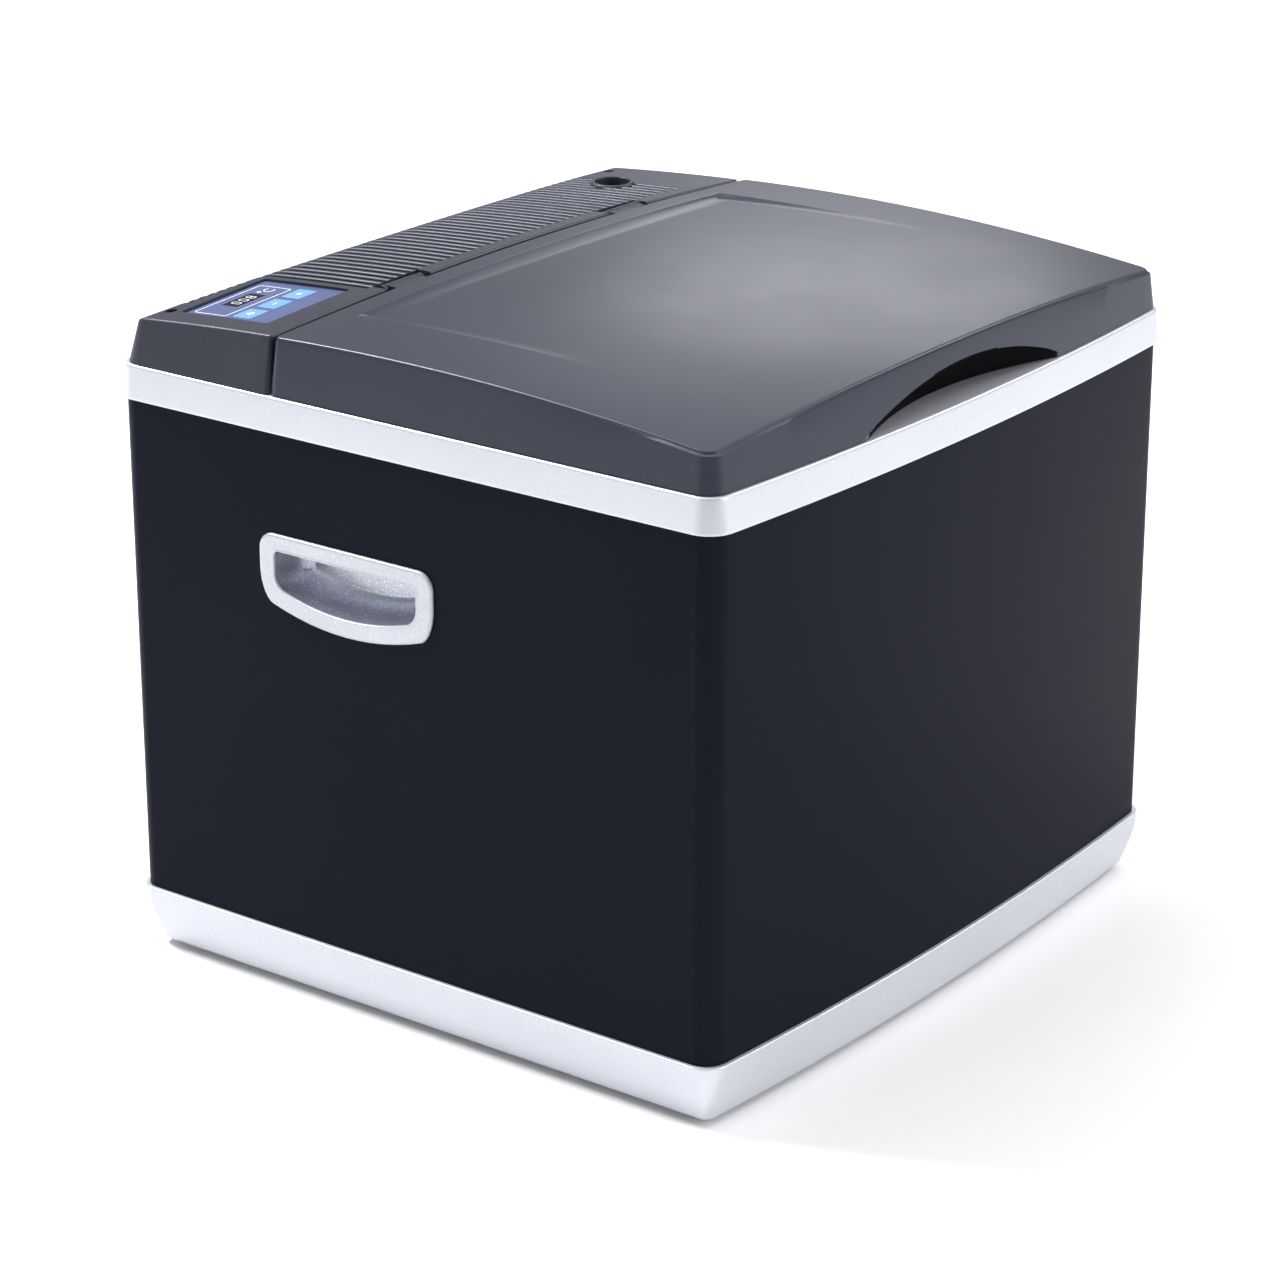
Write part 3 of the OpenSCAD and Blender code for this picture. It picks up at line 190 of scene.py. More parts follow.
# One material for each finish on the fridge, by the record's slot. After its colour and roughness each says its
# metallic share, second colour, patch size, gloss drift, grain size and grain depth.
# Painted reflection colour: a specular tint that makes the reflections on the dark plastics and hinges bluish.
BLUE_REFLECTION_TINT = (0.8, 0.83, 1.0, 1.0)
finishes = {
    # Moulded ABS, silver lacquer: satin, with a fine sparkle.
    "silver_plastic": surface("abs_moulded_silver_lacquer", "#cdcfd7", 0.34, 0.45, "#c4c7d0", 120, 0.03,
        0.8, 0.010, flecks="#dcdee4", fleck_mm=0.6),
    # EPDM rubber feet, pressed: deep matt grey with a dusty bloom.
    "foot_rubber": surface("epdm_rubber_pressed", "#1d1d20", 0.82, 0, "#2a2a2e", 12, 0.06, 0.6, 0.05),
    # Casing: lacquered sheet steel, satin, with its reflections painted bluish by a specular tint.
    "casing_steel": surface("steel_sheet_blue_black_lacquer", "#14161f", 0.38, 0, "#181a24", 160, 0.03,
        2.2, 0.010, IOR=1.1, Specular_Tint=(0.74, 0.78, 1.0, 1.0)),
    # Zinc-plated screws: bright, faintly yellow.
    "steel_screw": surface("steel_zinc_plated", "#b4b7bb", 0.32, 1, "#a6a38f", 4, 0.08, 0.4, 0.01),
    # Black-oxide screws: near black with a thin oily shine.
    "black_screw": surface("steel_black_oxide", "#1b1b1e", 0.42, 0.6, "#2a2b30", 4, 0.08, 0.4, 0.01),
    # Bin: vacuum-formed polystyrene, satin and slightly wavy.
    "bin_plastic": surface("polystyrene_vacuum_formed_white", "#e9ebee", 0.36, 0, "#e2e5e9", 120, 0.05,
        14, 0.10),
    # Foamed polyurethane: cream, open-celled where it is cut.
    "foam": surface("polyurethane_foam_poured", "#e9dcab", 0.9, 0, "#d9c78d", 20, 0.05, 1.6, 0.5),
    # Evaporator tube: drawn aluminium.
    "coil_aluminium": surface("aluminium_tube_drawn", "#c3c6c9", 0.38, 1, "#b2b6ba", 25, 0.08, 0.7, 0.02),
    # Annealed copper pipe, heat-tinted in patches.
    "copper_tube": surface("copper_pipe_annealed", "#b8704a", 0.33, 1, "#8e5138", 18, 0.09, 0.8, 0.02),
    # Machinery cover: ABS from a spark-eroded tool, matt and grained.
    "dark_plastic": surface("abs_spark_grained_anthracite", "#22242d", 0.42, 0, "#272933", 70, 0.04, 1.1,
        0.07, flecks="#30323d", fleck_mm=1.0, Specular_IOR_Level=0.5, Specular_Tint=BLUE_REFLECTION_TINT),
    # Lid: the same ABS from a polished tool, satin.
    "lid_plastic": surface("abs_smooth_satin_anthracite", "#292b37", 0.33, 0, "#2d2f3b", 110, 0.03, 1.6,
        0.008, Specular_IOR_Level=0.42, Specular_Tint=BLUE_REFLECTION_TINT),
    # Painted shade in the finger notch: its inner wall and ceiling are the lid's ABS made near black and dull.
    "notch_painted_shade": surface("abs_near_black_notch_painted_shade", "#050609", 0.7, 0, "#08090c", 30, 0.04, 0.9, 0.04,
        Specular_IOR_Level=0.05),
    # Handle: moulded ABS with silver lacquer, coarse sparkle.
    "handle_plastic": surface("abs_silver_lacquer_grained", "#bcbec6", 0.36, 0.35, "#b3b6be", 40, 0.04,
        0.7, 0.03, flecks="#cdcfd6", fleck_mm=0.9),
    # Handle's pocket: the same lacquer laid thick, so more metallic.
    "handle_pocket": surface("abs_silver_lacquer_pocket", "#b2b5c0", 0.33, 0.85, "#9da0ae", 26, 0.05, 1.1,
        0.05, flecks="#d9dbe2", fleck_mm=1.2),
    # Control panel: polyester film printed from behind, satin.
    "fascia_print": surface("polyester_film_printed_blue", "#475274", 0.42, 0, "#4d587c", 40, 0.04, 0.7,
        0.012, IOR=1.32),
    # Display window: smoked acrylic, polished.
    "window_plastic": surface("acrylic_polished_smoked", "#07080b", 0.14, 0, "#0b0c10", 20, 0.02, 6,
        0.004, IOR=1.2),
    # Display body: white ABS, moulded.
    "display_plastic": surface("abs_moulded_white", "#dcdcde", 0.4, 0, "#d2d2d6", 20, 0.04, 0.8, 0.02),
    # Circuit board: woven glass laminate under green solder mask.
    "board_laminate": surface("glass_epoxy_green_mask", "#17603a", 0.35, 0, "#1c6d43", 8, 0.05, 0.8, 0.03),
    # Ribbon cable: grey PVC, extruded with its ribs along it.
    "ribbon_plastic": surface("pvc_ribbon_extruded", "#b9b9b5", 0.48, 0, "#adadaa", 15, 0.05, 1.2, 0.1),
    # Compressor plate: pressed steel, black powder coat.
    "plate_steel": surface("steel_pressed_black_powder", "#232529", 0.6, 0, "#2a2c31", 30, 0.05, 1.0, 0.06),
    # Grommets: natural rubber, moulded.
    "grommet_rubber": surface("rubber_moulded_black", "#18181a", 0.8, 0, "#222224", 8, 0.05, 0.6, 0.05),
    # Compressor shell: drawn steel in gloss enamel with soft runs.
    "compressor_paint": surface("steel_drawn_black_enamel", "#101114", 0.2, 0, "#16181c", 30, 0.05, 7,
        0.12, Coat_Weight=0.4, Coat_Roughness=0.12),
    # Pump and motor block: cast iron, as cast.
    "pump_iron": surface("cast_iron_raw", "#6c6e72", 0.62, 0.8, "#56585c", 9, 0.08, 1.4, 0.2),
    # Compressor controller: glass-filled nylon, moulded.
    "controller_plastic": surface("nylon_glass_filled_black", "#26282c", 0.55, 0, "#2e3036", 14, 0.05,
        0.8, 0.05),
    # Condenser fins: thin rolled aluminium.
    "fin_aluminium": surface("aluminium_foil_rolled", "#c6c9cc", 0.36, 1, "#b5b9bd", 12, 0.08, 1.5, 0.03,
        stretch=(1, 1, 0.2)),
    # Fan shroud: hot-dip galvanised sheet, with its spangle.
    "shroud_steel": surface("steel_galvanised_sheet", "#9fa4a9", 0.42, 1, "#868c92", 7, 0.1, 3, 0.02),
    # Fan: PBT, moulded black, semi-matt.
    "fan_plastic": surface("pbt_moulded_black", "#18191b", 0.5, 0, "#202124", 15, 0.05, 0.8, 0.03),
    # Mains supply: die-cast aluminium, bead-blasted.
    "supply_aluminium": surface("aluminium_die_cast_blasted", "#9a9ea3", 0.5, 1, "#8b8f95", 18, 0.06, 0.7,
        0.05),
    # Inlets: flame-resistant nylon, moulded black.
    "inlet_plastic": surface("nylon_moulded_black", "#17181b", 0.45, 0, "#1e2024", 10, 0.05, 0.7, 0.03),
    # Contacts: nickel-plated brass, polished.
    "contact_metal": surface("brass_nickel_plated", "#cfcabc", 0.2, 1, "#bdb59c", 5, 0.05, 1.0, 0.005),
    # Hinges: pressed steel, black passivated.
    "hinge_steel": surface("steel_black_passivated", "#1d1f27", 0.5, 0, "#23252e", 6, 0.08, 0.6, 0.02,
        Specular_IOR_Level=0.45, Specular_Tint=BLUE_REFLECTION_TINT),
    # Hinge pins: ground stainless bar.
    "pin_steel": surface("stainless_ground_bar", "#c0c3c7", 0.18, 1, "#b1b4b9", 6, 0.05, 0.5, 0.004),
    # Lid gasket: soft extruded PVC, dark grey and dull.
    "gasket_rubber": surface("pvc_gasket_extruded", "#35373d", 0.6, 0, "#3d3f46", 20, 0.05, 0.8, 0.04),
    # Keys: blue silicone-backed polycarbonate, satin.
    "key_plastic": surface("polycarbonate_moulded_blue", "#618bbf", 0.42, 0, "#6892c6", 9, 0.04, 0.8,
        0.012, IOR=1.35),
    # Ink of the panel's signs: white, screen-printed.
    "white_ink": surface("screen_print_white_ink", "#eef0f4", 0.5, 0, "#e4e6ec", 10, 0.04, 0.4, 0.004),
    # Digits behind the window: white, faintly lit.
    "lit_digits": surface("display_digit_lit_white", "#e6e8f2", 0.4, 0, "#dcdfec", 10, 0.04, 0.4, 0.002,
        Emission_Color=(0.8, 0.84, 1.0, 1.0), Emission_Strength=0.15),
    # Partition: grey polypropylene sheet, extruded.
    "partition_plastic": surface("polypropylene_sheet_grey", "#55575d", 0.55, 0, "#5d5f66", 60, 0.05, 2,
        0.05),
}


# ---------------- making pieces

def box_mm(node):
    """The low and high corners of a CAD node, in millimetres."""
    return [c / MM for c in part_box(node)]


def shape_now(piece):
    """The piece's mesh with its modifiers applied."""
    return bpy.data.meshes.new_from_object(piece.evaluated_get(bpy.context.evaluated_depsgraph_get()))


def as_object(name, bm):
    mesh = bpy.data.meshes.new(name)
    bm.to_mesh(mesh)
    bm.free()
    piece = bpy.data.objects.new(name, mesh)
    bpy.context.scene.collection.objects.link(piece)
    return piece


def drawn_in_mm(name, bm):
    """A piece from a mesh drawn in millimetres, its faces turned outwards."""
    bmesh.ops.scale(bm, vec=(MM, MM, MM), verts=bm.verts)
    bmesh.ops.recalc_face_normals(bm, faces=bm.faces)
    return as_object(name, bm)


def finish_piece(piece, body, slot, *replaced, crease=32, material=None):
    """Shades a piece, paints it in its slot's finish and puts it on its body in place of its CAD nodes."""
    piece.data.shade_smooth()
    piece.data.set_sharp_from_angle(angle=math.radians(crease))
    weigh = piece.modifiers.new("flat faces stay flat", "WEIGHTED_NORMAL")
    weigh.keep_sharp = True
    weigh.weight = 80
    piece.data.materials.clear()
    piece.data.materials.append(material or finishes[slot])
    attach(piece, body)
    if replaced:
        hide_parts(*replaced)
    return piece


def cut(piece, cutters, operation="DIFFERENCE"):
    """Takes the cutters out of the piece, or joins them to it, and removes them."""
    for cutter in cutters:
        change = piece.modifiers.new("cut", "BOOLEAN")
        change.operation = operation
        change.solver = "EXACT"
        change.object = cutter
    shape = shape_now(piece)
    piece.modifiers.clear()
    piece.data = shape
    for cutter in cutters:
        bpy.data.objects.remove(cutter)
    return piece


def round_off(piece, width_mm, segments=2, angle=35):
    """Rounds every edge sharper than an angle."""
    bevel = piece.modifiers.new("rounded edges", "BEVEL")
    bevel.width = width_mm * MM
    bevel.segments = segments
    bevel.limit_method = "ANGLE"
    bevel.angle_limit = math.radians(angle)
    bevel.use_clamp_overlap = True
    return piece


def box_between(low, high, corner=0.0, steps=6, tilt=None):
    """A block from one corner to the other, in millimetres, with its upright edges rounded."""
    bm = bmesh.new()
    bmesh.ops.create_cube(bm, size=1)
    low, high = Vector(low), Vector(high)
    bmesh.ops.scale(bm, vec=high - low, verts=bm.verts)
    bmesh.ops.translate(bm, vec=(low + high) / 2, verts=bm.verts)
    if corner:
        upright = [e for e in bm.edges if abs((e.verts[0].co - e.verts[1].co).normalized().z) > 0.9]
        bmesh.ops.bevel(bm, geom=upright, offset=corner, affect="EDGES", segments=steps, profile=0.5,
                        material=-1)
    if tilt:
        bmesh.ops.transform(bm, matrix=tilt, verts=bm.verts)
    return drawn_in_mm("block", bm)


def turned(profile, centre, axis, steps=48):
    """Spins a closed section of (radius, height) points, in millimetres, about an axis through a centre."""
    bm = bmesh.new()
    points = [bm.verts.new((r, 0, h)) for r, h in profile]
    edges = [bm.edges.new((a, b)) for a, b in zip(points, points[1:] + points[:1])]
    bmesh.ops.spin(bm, geom=points + edges, cent=(0, 0, 0), axis=(0, 0, 1), angle=2 * math.pi, steps=steps,
                   use_merge=True)
    bmesh.ops.remove_doubles(bm, verts=bm.verts, dist=0.001)
    bmesh.ops.recalc_face_normals(bm, faces=bm.faces)
    turn = Vector((0, 0, 1)).rotation_difference(Vector(axis)).to_matrix().to_4x4()
    place = Matrix.Scale(MM, 4) @ Matrix.Translation(Vector(centre)) @ turn
    bmesh.ops.transform(bm, matrix=place, verts=bm.verts)
    return as_object("turned", bm)


def rod(radius, low, high, centre, axis=(0, 0, 1), steps=48):
    """A plain round bar from one height to another along its axis."""
    return turned([(0, low), (radius, low), (radius, high), (0, high)], centre, axis, steps)


def joined(name, pieces):
    """Puts several meshes into one piece."""
    bm = bmesh.new()
    for piece in pieces:
        bm.from_mesh(shape_now(piece))
        bpy.data.objects.remove(piece)
    return as_object(name, bm)


# ---------------- the casing's plan

casing = box_mm("casing_wrap")
HALF_W, HALF_D = casing[1].x, casing[1].y
BOW, CORNER, STEEL_T = 11.0, 13.0, 1.0
PANEL_MARGIN, PANEL_GAP, LINER_GAP = 19, 0.5, 3.3
CASE_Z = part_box("back_panel")[0].z / MM - PANEL_GAP
TRAY_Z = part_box("base_tray")[0].z / MM
FRAME_Z, RIM_Z = (c.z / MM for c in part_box("top_frame"))
LID_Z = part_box("lid_shell")[0].z / MM
LID_BACK_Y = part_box("lid_liner")[1].y / MM + LINER_GAP
FOOT_R, FOOT_RECESS_R, FOOT_TOP_Z = 14, 14.3, 5.9
FOOT_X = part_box("feet")[1].x / MM - FOOT_R
FOOT_YS = (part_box("feet")[0].y / MM + FOOT_R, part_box("feet")[1].y / MM - FOOT_R)

# Sections of the two bands and a foot: distance out from the casing (or the foot's axis), and height.
TRAY_SECTION = [
    (-12, TRAY_Z), (-9.4, TRAY_Z), (-8.2, 4.25), (-7.2, 5.0), (-6.5, 6.2), (-6.0, 7.6), (-2.0, 18.2),
    (-1.0, 20.6), (-0.2, 23.2), (2.3, 32.8), (2.8, 34.9), (3.0, 37), (3.0, 41.9), (2.85, 42.5), (2.5, 42.88),
    (2.0, CASE_Z), (0.15, CASE_Z), (0.15, 40), (-3.4, 40), (-3.4, 21), (-10, 21), (-10, 7)]
RIM_SECTION = [
    (0.1, FRAME_Z), (2.4, FRAME_Z), (2.85, 371.15), (3.0, 371.6), (3.0, 372.6), (1.0, 391.0), (0.7, 392.1),
    (0.1, 392.75), (-0.8, RIM_Z), (-4.2, RIM_Z)]
FOOT_SECTION = [
    (0, 1.2), (7.5, 1.2), (8.3, 0.3), (9, 0), (12.6, 0), (13.5, 0.4), (13.9, 1.4), (13.9, FOOT_TOP_Z),
    (0, FOOT_TOP_Z)]


def bowed_plan(half_w, front_y, back_y, bow, front_r, back_r):
    """Plan points of a rectangle with a bowed front and rounded corners, each with its outward direction."""
    bm = bmesh.new()
    bmesh.ops.create_grid(bm, x_segments=1, y_segments=1, size=1)
    for v in bm.verts:
        v.co = (v.co.x * half_w, back_y if v.co.y > 0 else front_y + bow, 0)
    if bow:
        low = [e for e in bm.edges if all(v.co.y < back_y for v in e.verts)]
        bmesh.ops.subdivide_edges(bm, edges=low, cuts=23)
    for v in bm.verts:
        if v.co.y < (front_y + back_y) / 2:
            v.co.y -= bow * (1 - (v.co.x / half_w) ** 2)
    for radius, is_front in ((front_r, True), (back_r, False)):
        corners = [v for v in bm.verts if abs(abs(v.co.x) - half_w) < 1e-3
                   and (v.co.y < (front_y + back_y) / 2) == is_front]
        if radius and corners:
            bmesh.ops.bevel(bm, geom=corners, offset=radius, affect="VERTICES", segments=8, profile=0.5,
                            material=-1)
    bm.faces.ensure_lookup_table()
    points = [v.co.to_2d() for v in bm.faces[0].verts]
    bm.free()
    area = sum(a.x * b.y - b.x * a.y for a, b in zip(points, points[1:] + points[:1]))
    if area < 0:
        points.reverse()
    out = []
    for before, here, after in zip(points[-1:] + points, points, points[1:] + points[:1]):
        along = (here - before).normalized() + (after - here).normalized()
        out.append((here, Vector((along.y, -along.x)).normalized()))
    return out


def ring_at(plan, out, z):
    """The plan's points moved outwards, at a height."""
    return [Vector((p.x + n.x * out, p.y + n.y * out, z)) for p, n in plan]


def extruded(bm, edges, known):
    """Extrudes edges once. Gives the new edges, and each new vertex with what was known of its old one."""
    grown = bmesh.ops.extrude_edge_only(bm, edges=edges)["geom"]
    fresh = {g for g in grown if isinstance(g, bmesh.types.BMVert)}
    known = {v: known[e.other_vert(v)] for v in fresh for e in v.link_edges if e.other_vert(v) in known}
    return [g for g in grown if isinstance(g, bmesh.types.BMEdge)], known


def lofted(name, rings, cap_start=True, cap_end=True):
    """Extrudes a loop of points from ring to ring. Points are in millimetres."""
    bm = bmesh.new()
    verts = [bm.verts.new(p * MM) for p in rings[0]]
    start = bm.faces.new(verts)
    edges = list(start.edges)
    order = {v: i for i, v in enumerate(verts)}
    for places in rings[1:]:
        edges, order = extruded(bm, edges, order)
        for v, i in order.items():
            v.co = places[i] * MM
    if not cap_start:
        bmesh.ops.delete(bm, geom=[start], context="FACES_ONLY")
    if cap_end:
        bmesh.ops.contextual_create(bm, geom=edges)
    bmesh.ops.remove_doubles(bm, verts=bm.verts, dist=1e-6)
    bmesh.ops.recalc_face_normals(bm, faces=bm.faces)
    return as_object(name, bm)


def band(name, plan, section, solid=False):
    """Runs a section of (outward, height) points round a plan. A solid band has a flat face at both ends."""
    return lofted(name, [ring_at(plan, out, z) for out, z in section], solid, solid)


def make_casing():
    """The painted steel wrap, the base tray below it and the top frame above it."""
    plan = bowed_plan(HALF_W, -HALF_D, HALF_D, BOW, CORNER, CORNER)
    low, high = casing[0].z, casing[1].z
    steel = band("steel_casing", plan, [(0, low), (0, high), (-STEEL_T, high), (-STEEL_T, low), (0, low)])
    half_panel = HALF_W - PANEL_MARGIN
    holes = [box_between((-half_panel, HALF_D - 20, CASE_Z - 4), (half_panel, HALF_D + 1, FRAME_Z + 4))]
    holes += [handle_solid(side, 2.3, -6, 6) for side in (-1, 1)]
    cut(steel, holes)
    finish_piece(steel, CABINET, "casing_steel", "casing_wrap")

    tray = band("silver_base_tray", plan, TRAY_SECTION, solid=True)
    cut(tray, [rod(FOOT_RECESS_R, 3, FOOT_TOP_Z, (x, y, 0)) for x in (-FOOT_X, FOOT_X) for y in FOOT_YS])
    finish_piece(tray, CABINET, "silver_plastic", "base_tray", crease=40)

    rim = band("silver_top_frame", plan, RIM_SECTION, solid=True)
    liner_low, liner_high = box_mm("bin_liner")
    gap, flange_w = 0.4, 7
    left, right, front, back = liner_low.x - gap, liner_high.x + gap, liner_low.y - gap, liner_high.y + gap
    inside = band("inside", plan, [(-4, FRAME_Z - 1), (-4, RIM_Z - 7)], True)
    ledge = band("ledge", plan, [(0.1, FRAME_Z - 2), (0.1, FRAME_Z + 3)], True)
    cut(rim, [ledge])
    cut(rim, [
        inside,
        box_between((left + flange_w, front + flange_w, 360), (right - flange_w, back - flange_w, 400), 18),
        box_between((left, front, RIM_Z - 2), (right, back, 400), 25),
        box_between((-200, 124, 360), (200, 210, 400))])
    finish_piece(rim, CABINET, "silver_plastic", "top_frame", crease=40)


def make_feet():
    """Pressed rubber feet, with a moulded rim and a hollow underside."""
    feet = [turned(FOOT_SECTION, (x, y, 0), (0, 0, 1)) for x in (-FOOT_X, FOOT_X) for y in FOOT_YS]
    finish_piece(joined("rubber_feet", feet), CABINET, "foot_rubber", "feet", crease=50)


# ---------------- carrying handles

handle_box = box_mm("handle_right")
HANDLE_Y = (handle_box[0].y + handle_box[1].y) / 2
HANDLE_Z = handle_box[1].z
HANDLE_W, HANDLE_SIDE_H, HANDLE_SAG, HANDLE_TOP_R, HANDLE_LOW_R = 136, 42, 13, 11, 19
LIP_INSET, SMALLEST_R = 12.4, 1.2
# Inset from the flange's outline, and distance out from the casing: rolled rim, flange, raised lip, scoop.
HANDLE_SECTION = [
    (0.4, 0.0), (0.0, 0.5), (0.1, 1.5), (0.7, 2.2), (1.6, 2.5), (2.6, 2.6), (10.4, 2.6), (10.9, 2.8),
    (11.5, 3.0), (12.0, 2.9), (12.4, 2.4), (12.5, 1.5), (12.6, 0), (12.8, -3), (13.2, -7), (14.0, -11),
    (15.2, -14.6), (16.8, -17.6), (18.8, -20), (20.8, -21.6), (22.8, -22.5), (24.6, -22.8)]
HANDLE_BACK = [(1.2, -0.2), (10.9, -0.6), (11.6, -10), (13.2, -17), (16.4, -21.4), (22, -24.4)]


def arched(width, top, side_h, sag, r_top, r_low):
    """Points of a flat-topped outline with an arched bottom: (across, height), hung from z = top."""
    bm = bmesh.new()
    bmesh.ops.create_grid(bm, x_segments=1, y_segments=1, size=1)
    for v in bm.verts:
        v.co = (v.co.x * width / 2, top if v.co.y > 0 else top - side_h, 0)
    low = [e for e in bm.edges if all(v.co.y < top - 1 for v in e.verts)]
    bmesh.ops.subdivide_edges(bm, edges=low, cuts=13)
    for v in bm.verts:
        if v.co.y < top - 1:
            v.co.y -= sag * (1 - (2 * v.co.x / width) ** 2)
    for radius, high, low in ((r_top, top + 1, top - 1), (r_low, top - side_h + 0.01, top - side_h - 1)):
        corners = [v for v in bm.verts
                   if abs(abs(v.co.x) - width / 2) < 1e-3 and low < v.co.y < high]
        bmesh.ops.bevel(bm, geom=corners, offset=radius, affect="VERTICES", segments=7, profile=0.5,
                        material=-1)
    bm.faces.ensure_lookup_table()
    points = [v.co.to_2d() for v in bm.faces[0].verts]
    bm.free()
    return points


def handle_ring(side, inset, out):
    """A ring of the handle, drawn in from its flange by an inset and standing out from the casing."""
    points = arched(HANDLE_W - 2 * inset, HANDLE_Z - 0.86 * inset, HANDLE_SIDE_H - 1.55 * inset,
                    HANDLE_SAG - 0.26 * inset, max(HANDLE_TOP_R - 0.62 * inset, SMALLEST_R),
                    max(HANDLE_LOW_R - 0.85 * inset, SMALLEST_R))
    return [Vector((side * (HALF_W + out), HANDLE_Y + p.x, p.y)) for p in points]


def handle_solid(side, grow, out_low, out_high):
    """The hole that the handle's cup goes through."""
    rings = [handle_ring(side, LIP_INSET - grow, out) for out in (out_low, out_high)]
    return lofted("cup_hole", rings)


def make_handles():
    """Each handle is a flange with a rolled rim, a raised lip and a scooped pocket."""
    for side, node in ((-1, "handle_left"), (1, "handle_right")):
        skin = [handle_ring(side, inset, out) for inset, out in HANDLE_SECTION]
        hidden = [handle_ring(side, inset, out) for inset, out in HANDLE_BACK]
        flesh = lofted("handle", skin, cap_start=False, cap_end=True)
        back = lofted("back", [skin[0]] + hidden, cap_start=False, cap_end=True)
        handle = joined(f"grip_{'left' if side < 0 else 'right'}", [flesh, back])
        bm = bmesh.new()
        bm.from_mesh(handle.data)
        bmesh.ops.remove_doubles(bm, verts=bm.verts, dist=1e-6)
        bmesh.ops.recalc_face_normals(bm, faces=bm.faces)
        bm.to_mesh(handle.data)
        bm.free()
        finish_piece(handle, CABINET, "handle_plastic", node, crease=50)
        handle.data.materials.append(finishes["handle_pocket"])
        for face in handle.data.polygons:
            if abs(face.center.x) < (HALF_W + 0.8) * MM and face.normal.x * side > -0.2:
                face.material_index = 1


# ---------------- the lid

LID_TOP_X, LID_FRONT_IN, LID_CORNER = 242.0, 5.6, 6.5
# Height, place of the peak along Y and fall per square millimetre, of the lid's side edges and of its middle.
SIDE_CROWN, MIDDLE_CROWN = (430.9, 15.5, 0.00026), (440.6, -24.5, 0.000248)
DRAFT_TOP_Z, SIDE_DRAFT, FRONT_DRAFT, BACK_DRAFT = 430, 4.5, 4.9, 0.5
# The rounded edge between a top and its walls: steps outwards and down.
FILLET = [(0.0, 0.0), (0.75, -0.12), (1.35, -0.45), (1.8, -1.05), (2.05, -1.8)]


def fillet(out, down):
    """A step of the rounded edge between a top and its walls."""
    return lambda start, n: start + n * out + Vector((0, 0, down))


def lid_height(x, y):
    """Crown of the lid: its side edges arch front to back, and its middle stands higher."""
    side, middle = (top - fall * (y - peak_y) ** 2 for top, peak_y, fall in (SIDE_CROWN, MIDDLE_CROWN))
    z = side + (middle - side) * (1 - (x / LID_TOP_X) ** 2)
    return z - panel_depth(x, y)


PANEL_X, PANEL_BACK_Y, PANEL_FRONT_Y = 187.0, 87.5, -90.0
PANEL_SIDE_DEPTH, PANEL_MORE_DEPTH, PANEL_FADE, SIDE_RAMP = 2.5, 1.1, 1.15, 4.6


def panel_depth(x, y):
    """How far the sunk panel lies under the crown: a ramp at its back and sides, fading out to the front."""
    back = back_ramp(x)
    if abs(x) >= PANEL_X or y >= PANEL_BACK_Y or y <= PANEL_FRONT_Y:
        return 0.0
    along = min(1.0, (y - PANEL_FRONT_Y) / (PANEL_BACK_Y - back - PANEL_FRONT_Y))
    full = (PANEL_SIDE_DEPTH + PANEL_MORE_DEPTH * (1 - (x / PANEL_X) ** 2)) * along ** PANEL_FADE
    side = min(1.0, (PANEL_X - abs(x)) / SIDE_RAMP)
    rear = min(1.0, (PANEL_BACK_Y - y) / back)
    return full * min(side, rear)


def back_ramp(x):
    """Length of the panel's back ramp, longer at the middle."""
    return 3.6 + 5.4 * max(0.0, 1 - (x / PANEL_X) ** 2)


def gridded(points, xs, ys):
    """A flat face on the given outline, cut along lines across it."""
    bm = bmesh.new()
    bm.faces.new([bm.verts.new((p.x, p.y, 0)) for p in points])
    for value, way in [(x, 0) for x in xs] + [(y, 1) for y in ys]:
        normal = Vector((1 - way, way, 0))
        bmesh.ops.bisect_plane(bm, geom=bm.verts[:] + bm.edges[:] + bm.faces[:], dist=1e-4,
                               plane_co=normal * value, plane_no=normal)
    return bm


def outward(bm):
    """Plan direction out of the mesh at each vertex of its border."""
    out = {}
    for e in bm.edges:
        if e.is_boundary:
            loop = e.link_loops[0]
            a, b = loop.vert.co, loop.link_loop_next.vert.co
            normal = Vector((b.y - a.y, a.x - b.x, 0)).normalized()
            for v in e.verts:
                out[v] = out.get(v, Vector()) + normal
    return {v: n.normalized() for v, n in out.items()}


def grow_border(bm, steps, edges=None):
    """Extrudes the border once for each step, which gives a point's place from its start and direction."""
    edges = edges or [e for e in bm.edges if e.is_boundary]
    rim = {v for e in edges for v in e.verts}
    base = {v: (v.co.copy(), n) for v, n in outward(bm).items() if v in rim}
    for step in steps:
        edges, base = extruded(bm, edges, base)
        for v, (start, out) in base.items():
            v.co = step(start, out)
    return edges


NOTCH_W, NOTCH_H, NOTCH_D = 112.0, 23.5, 24.0


def notch_rise(x):
    """Height of the finger notch's arch over the lid's rim."""
    return NOTCH_H * max(0.0, 1 - (x / NOTCH_W) ** 2)


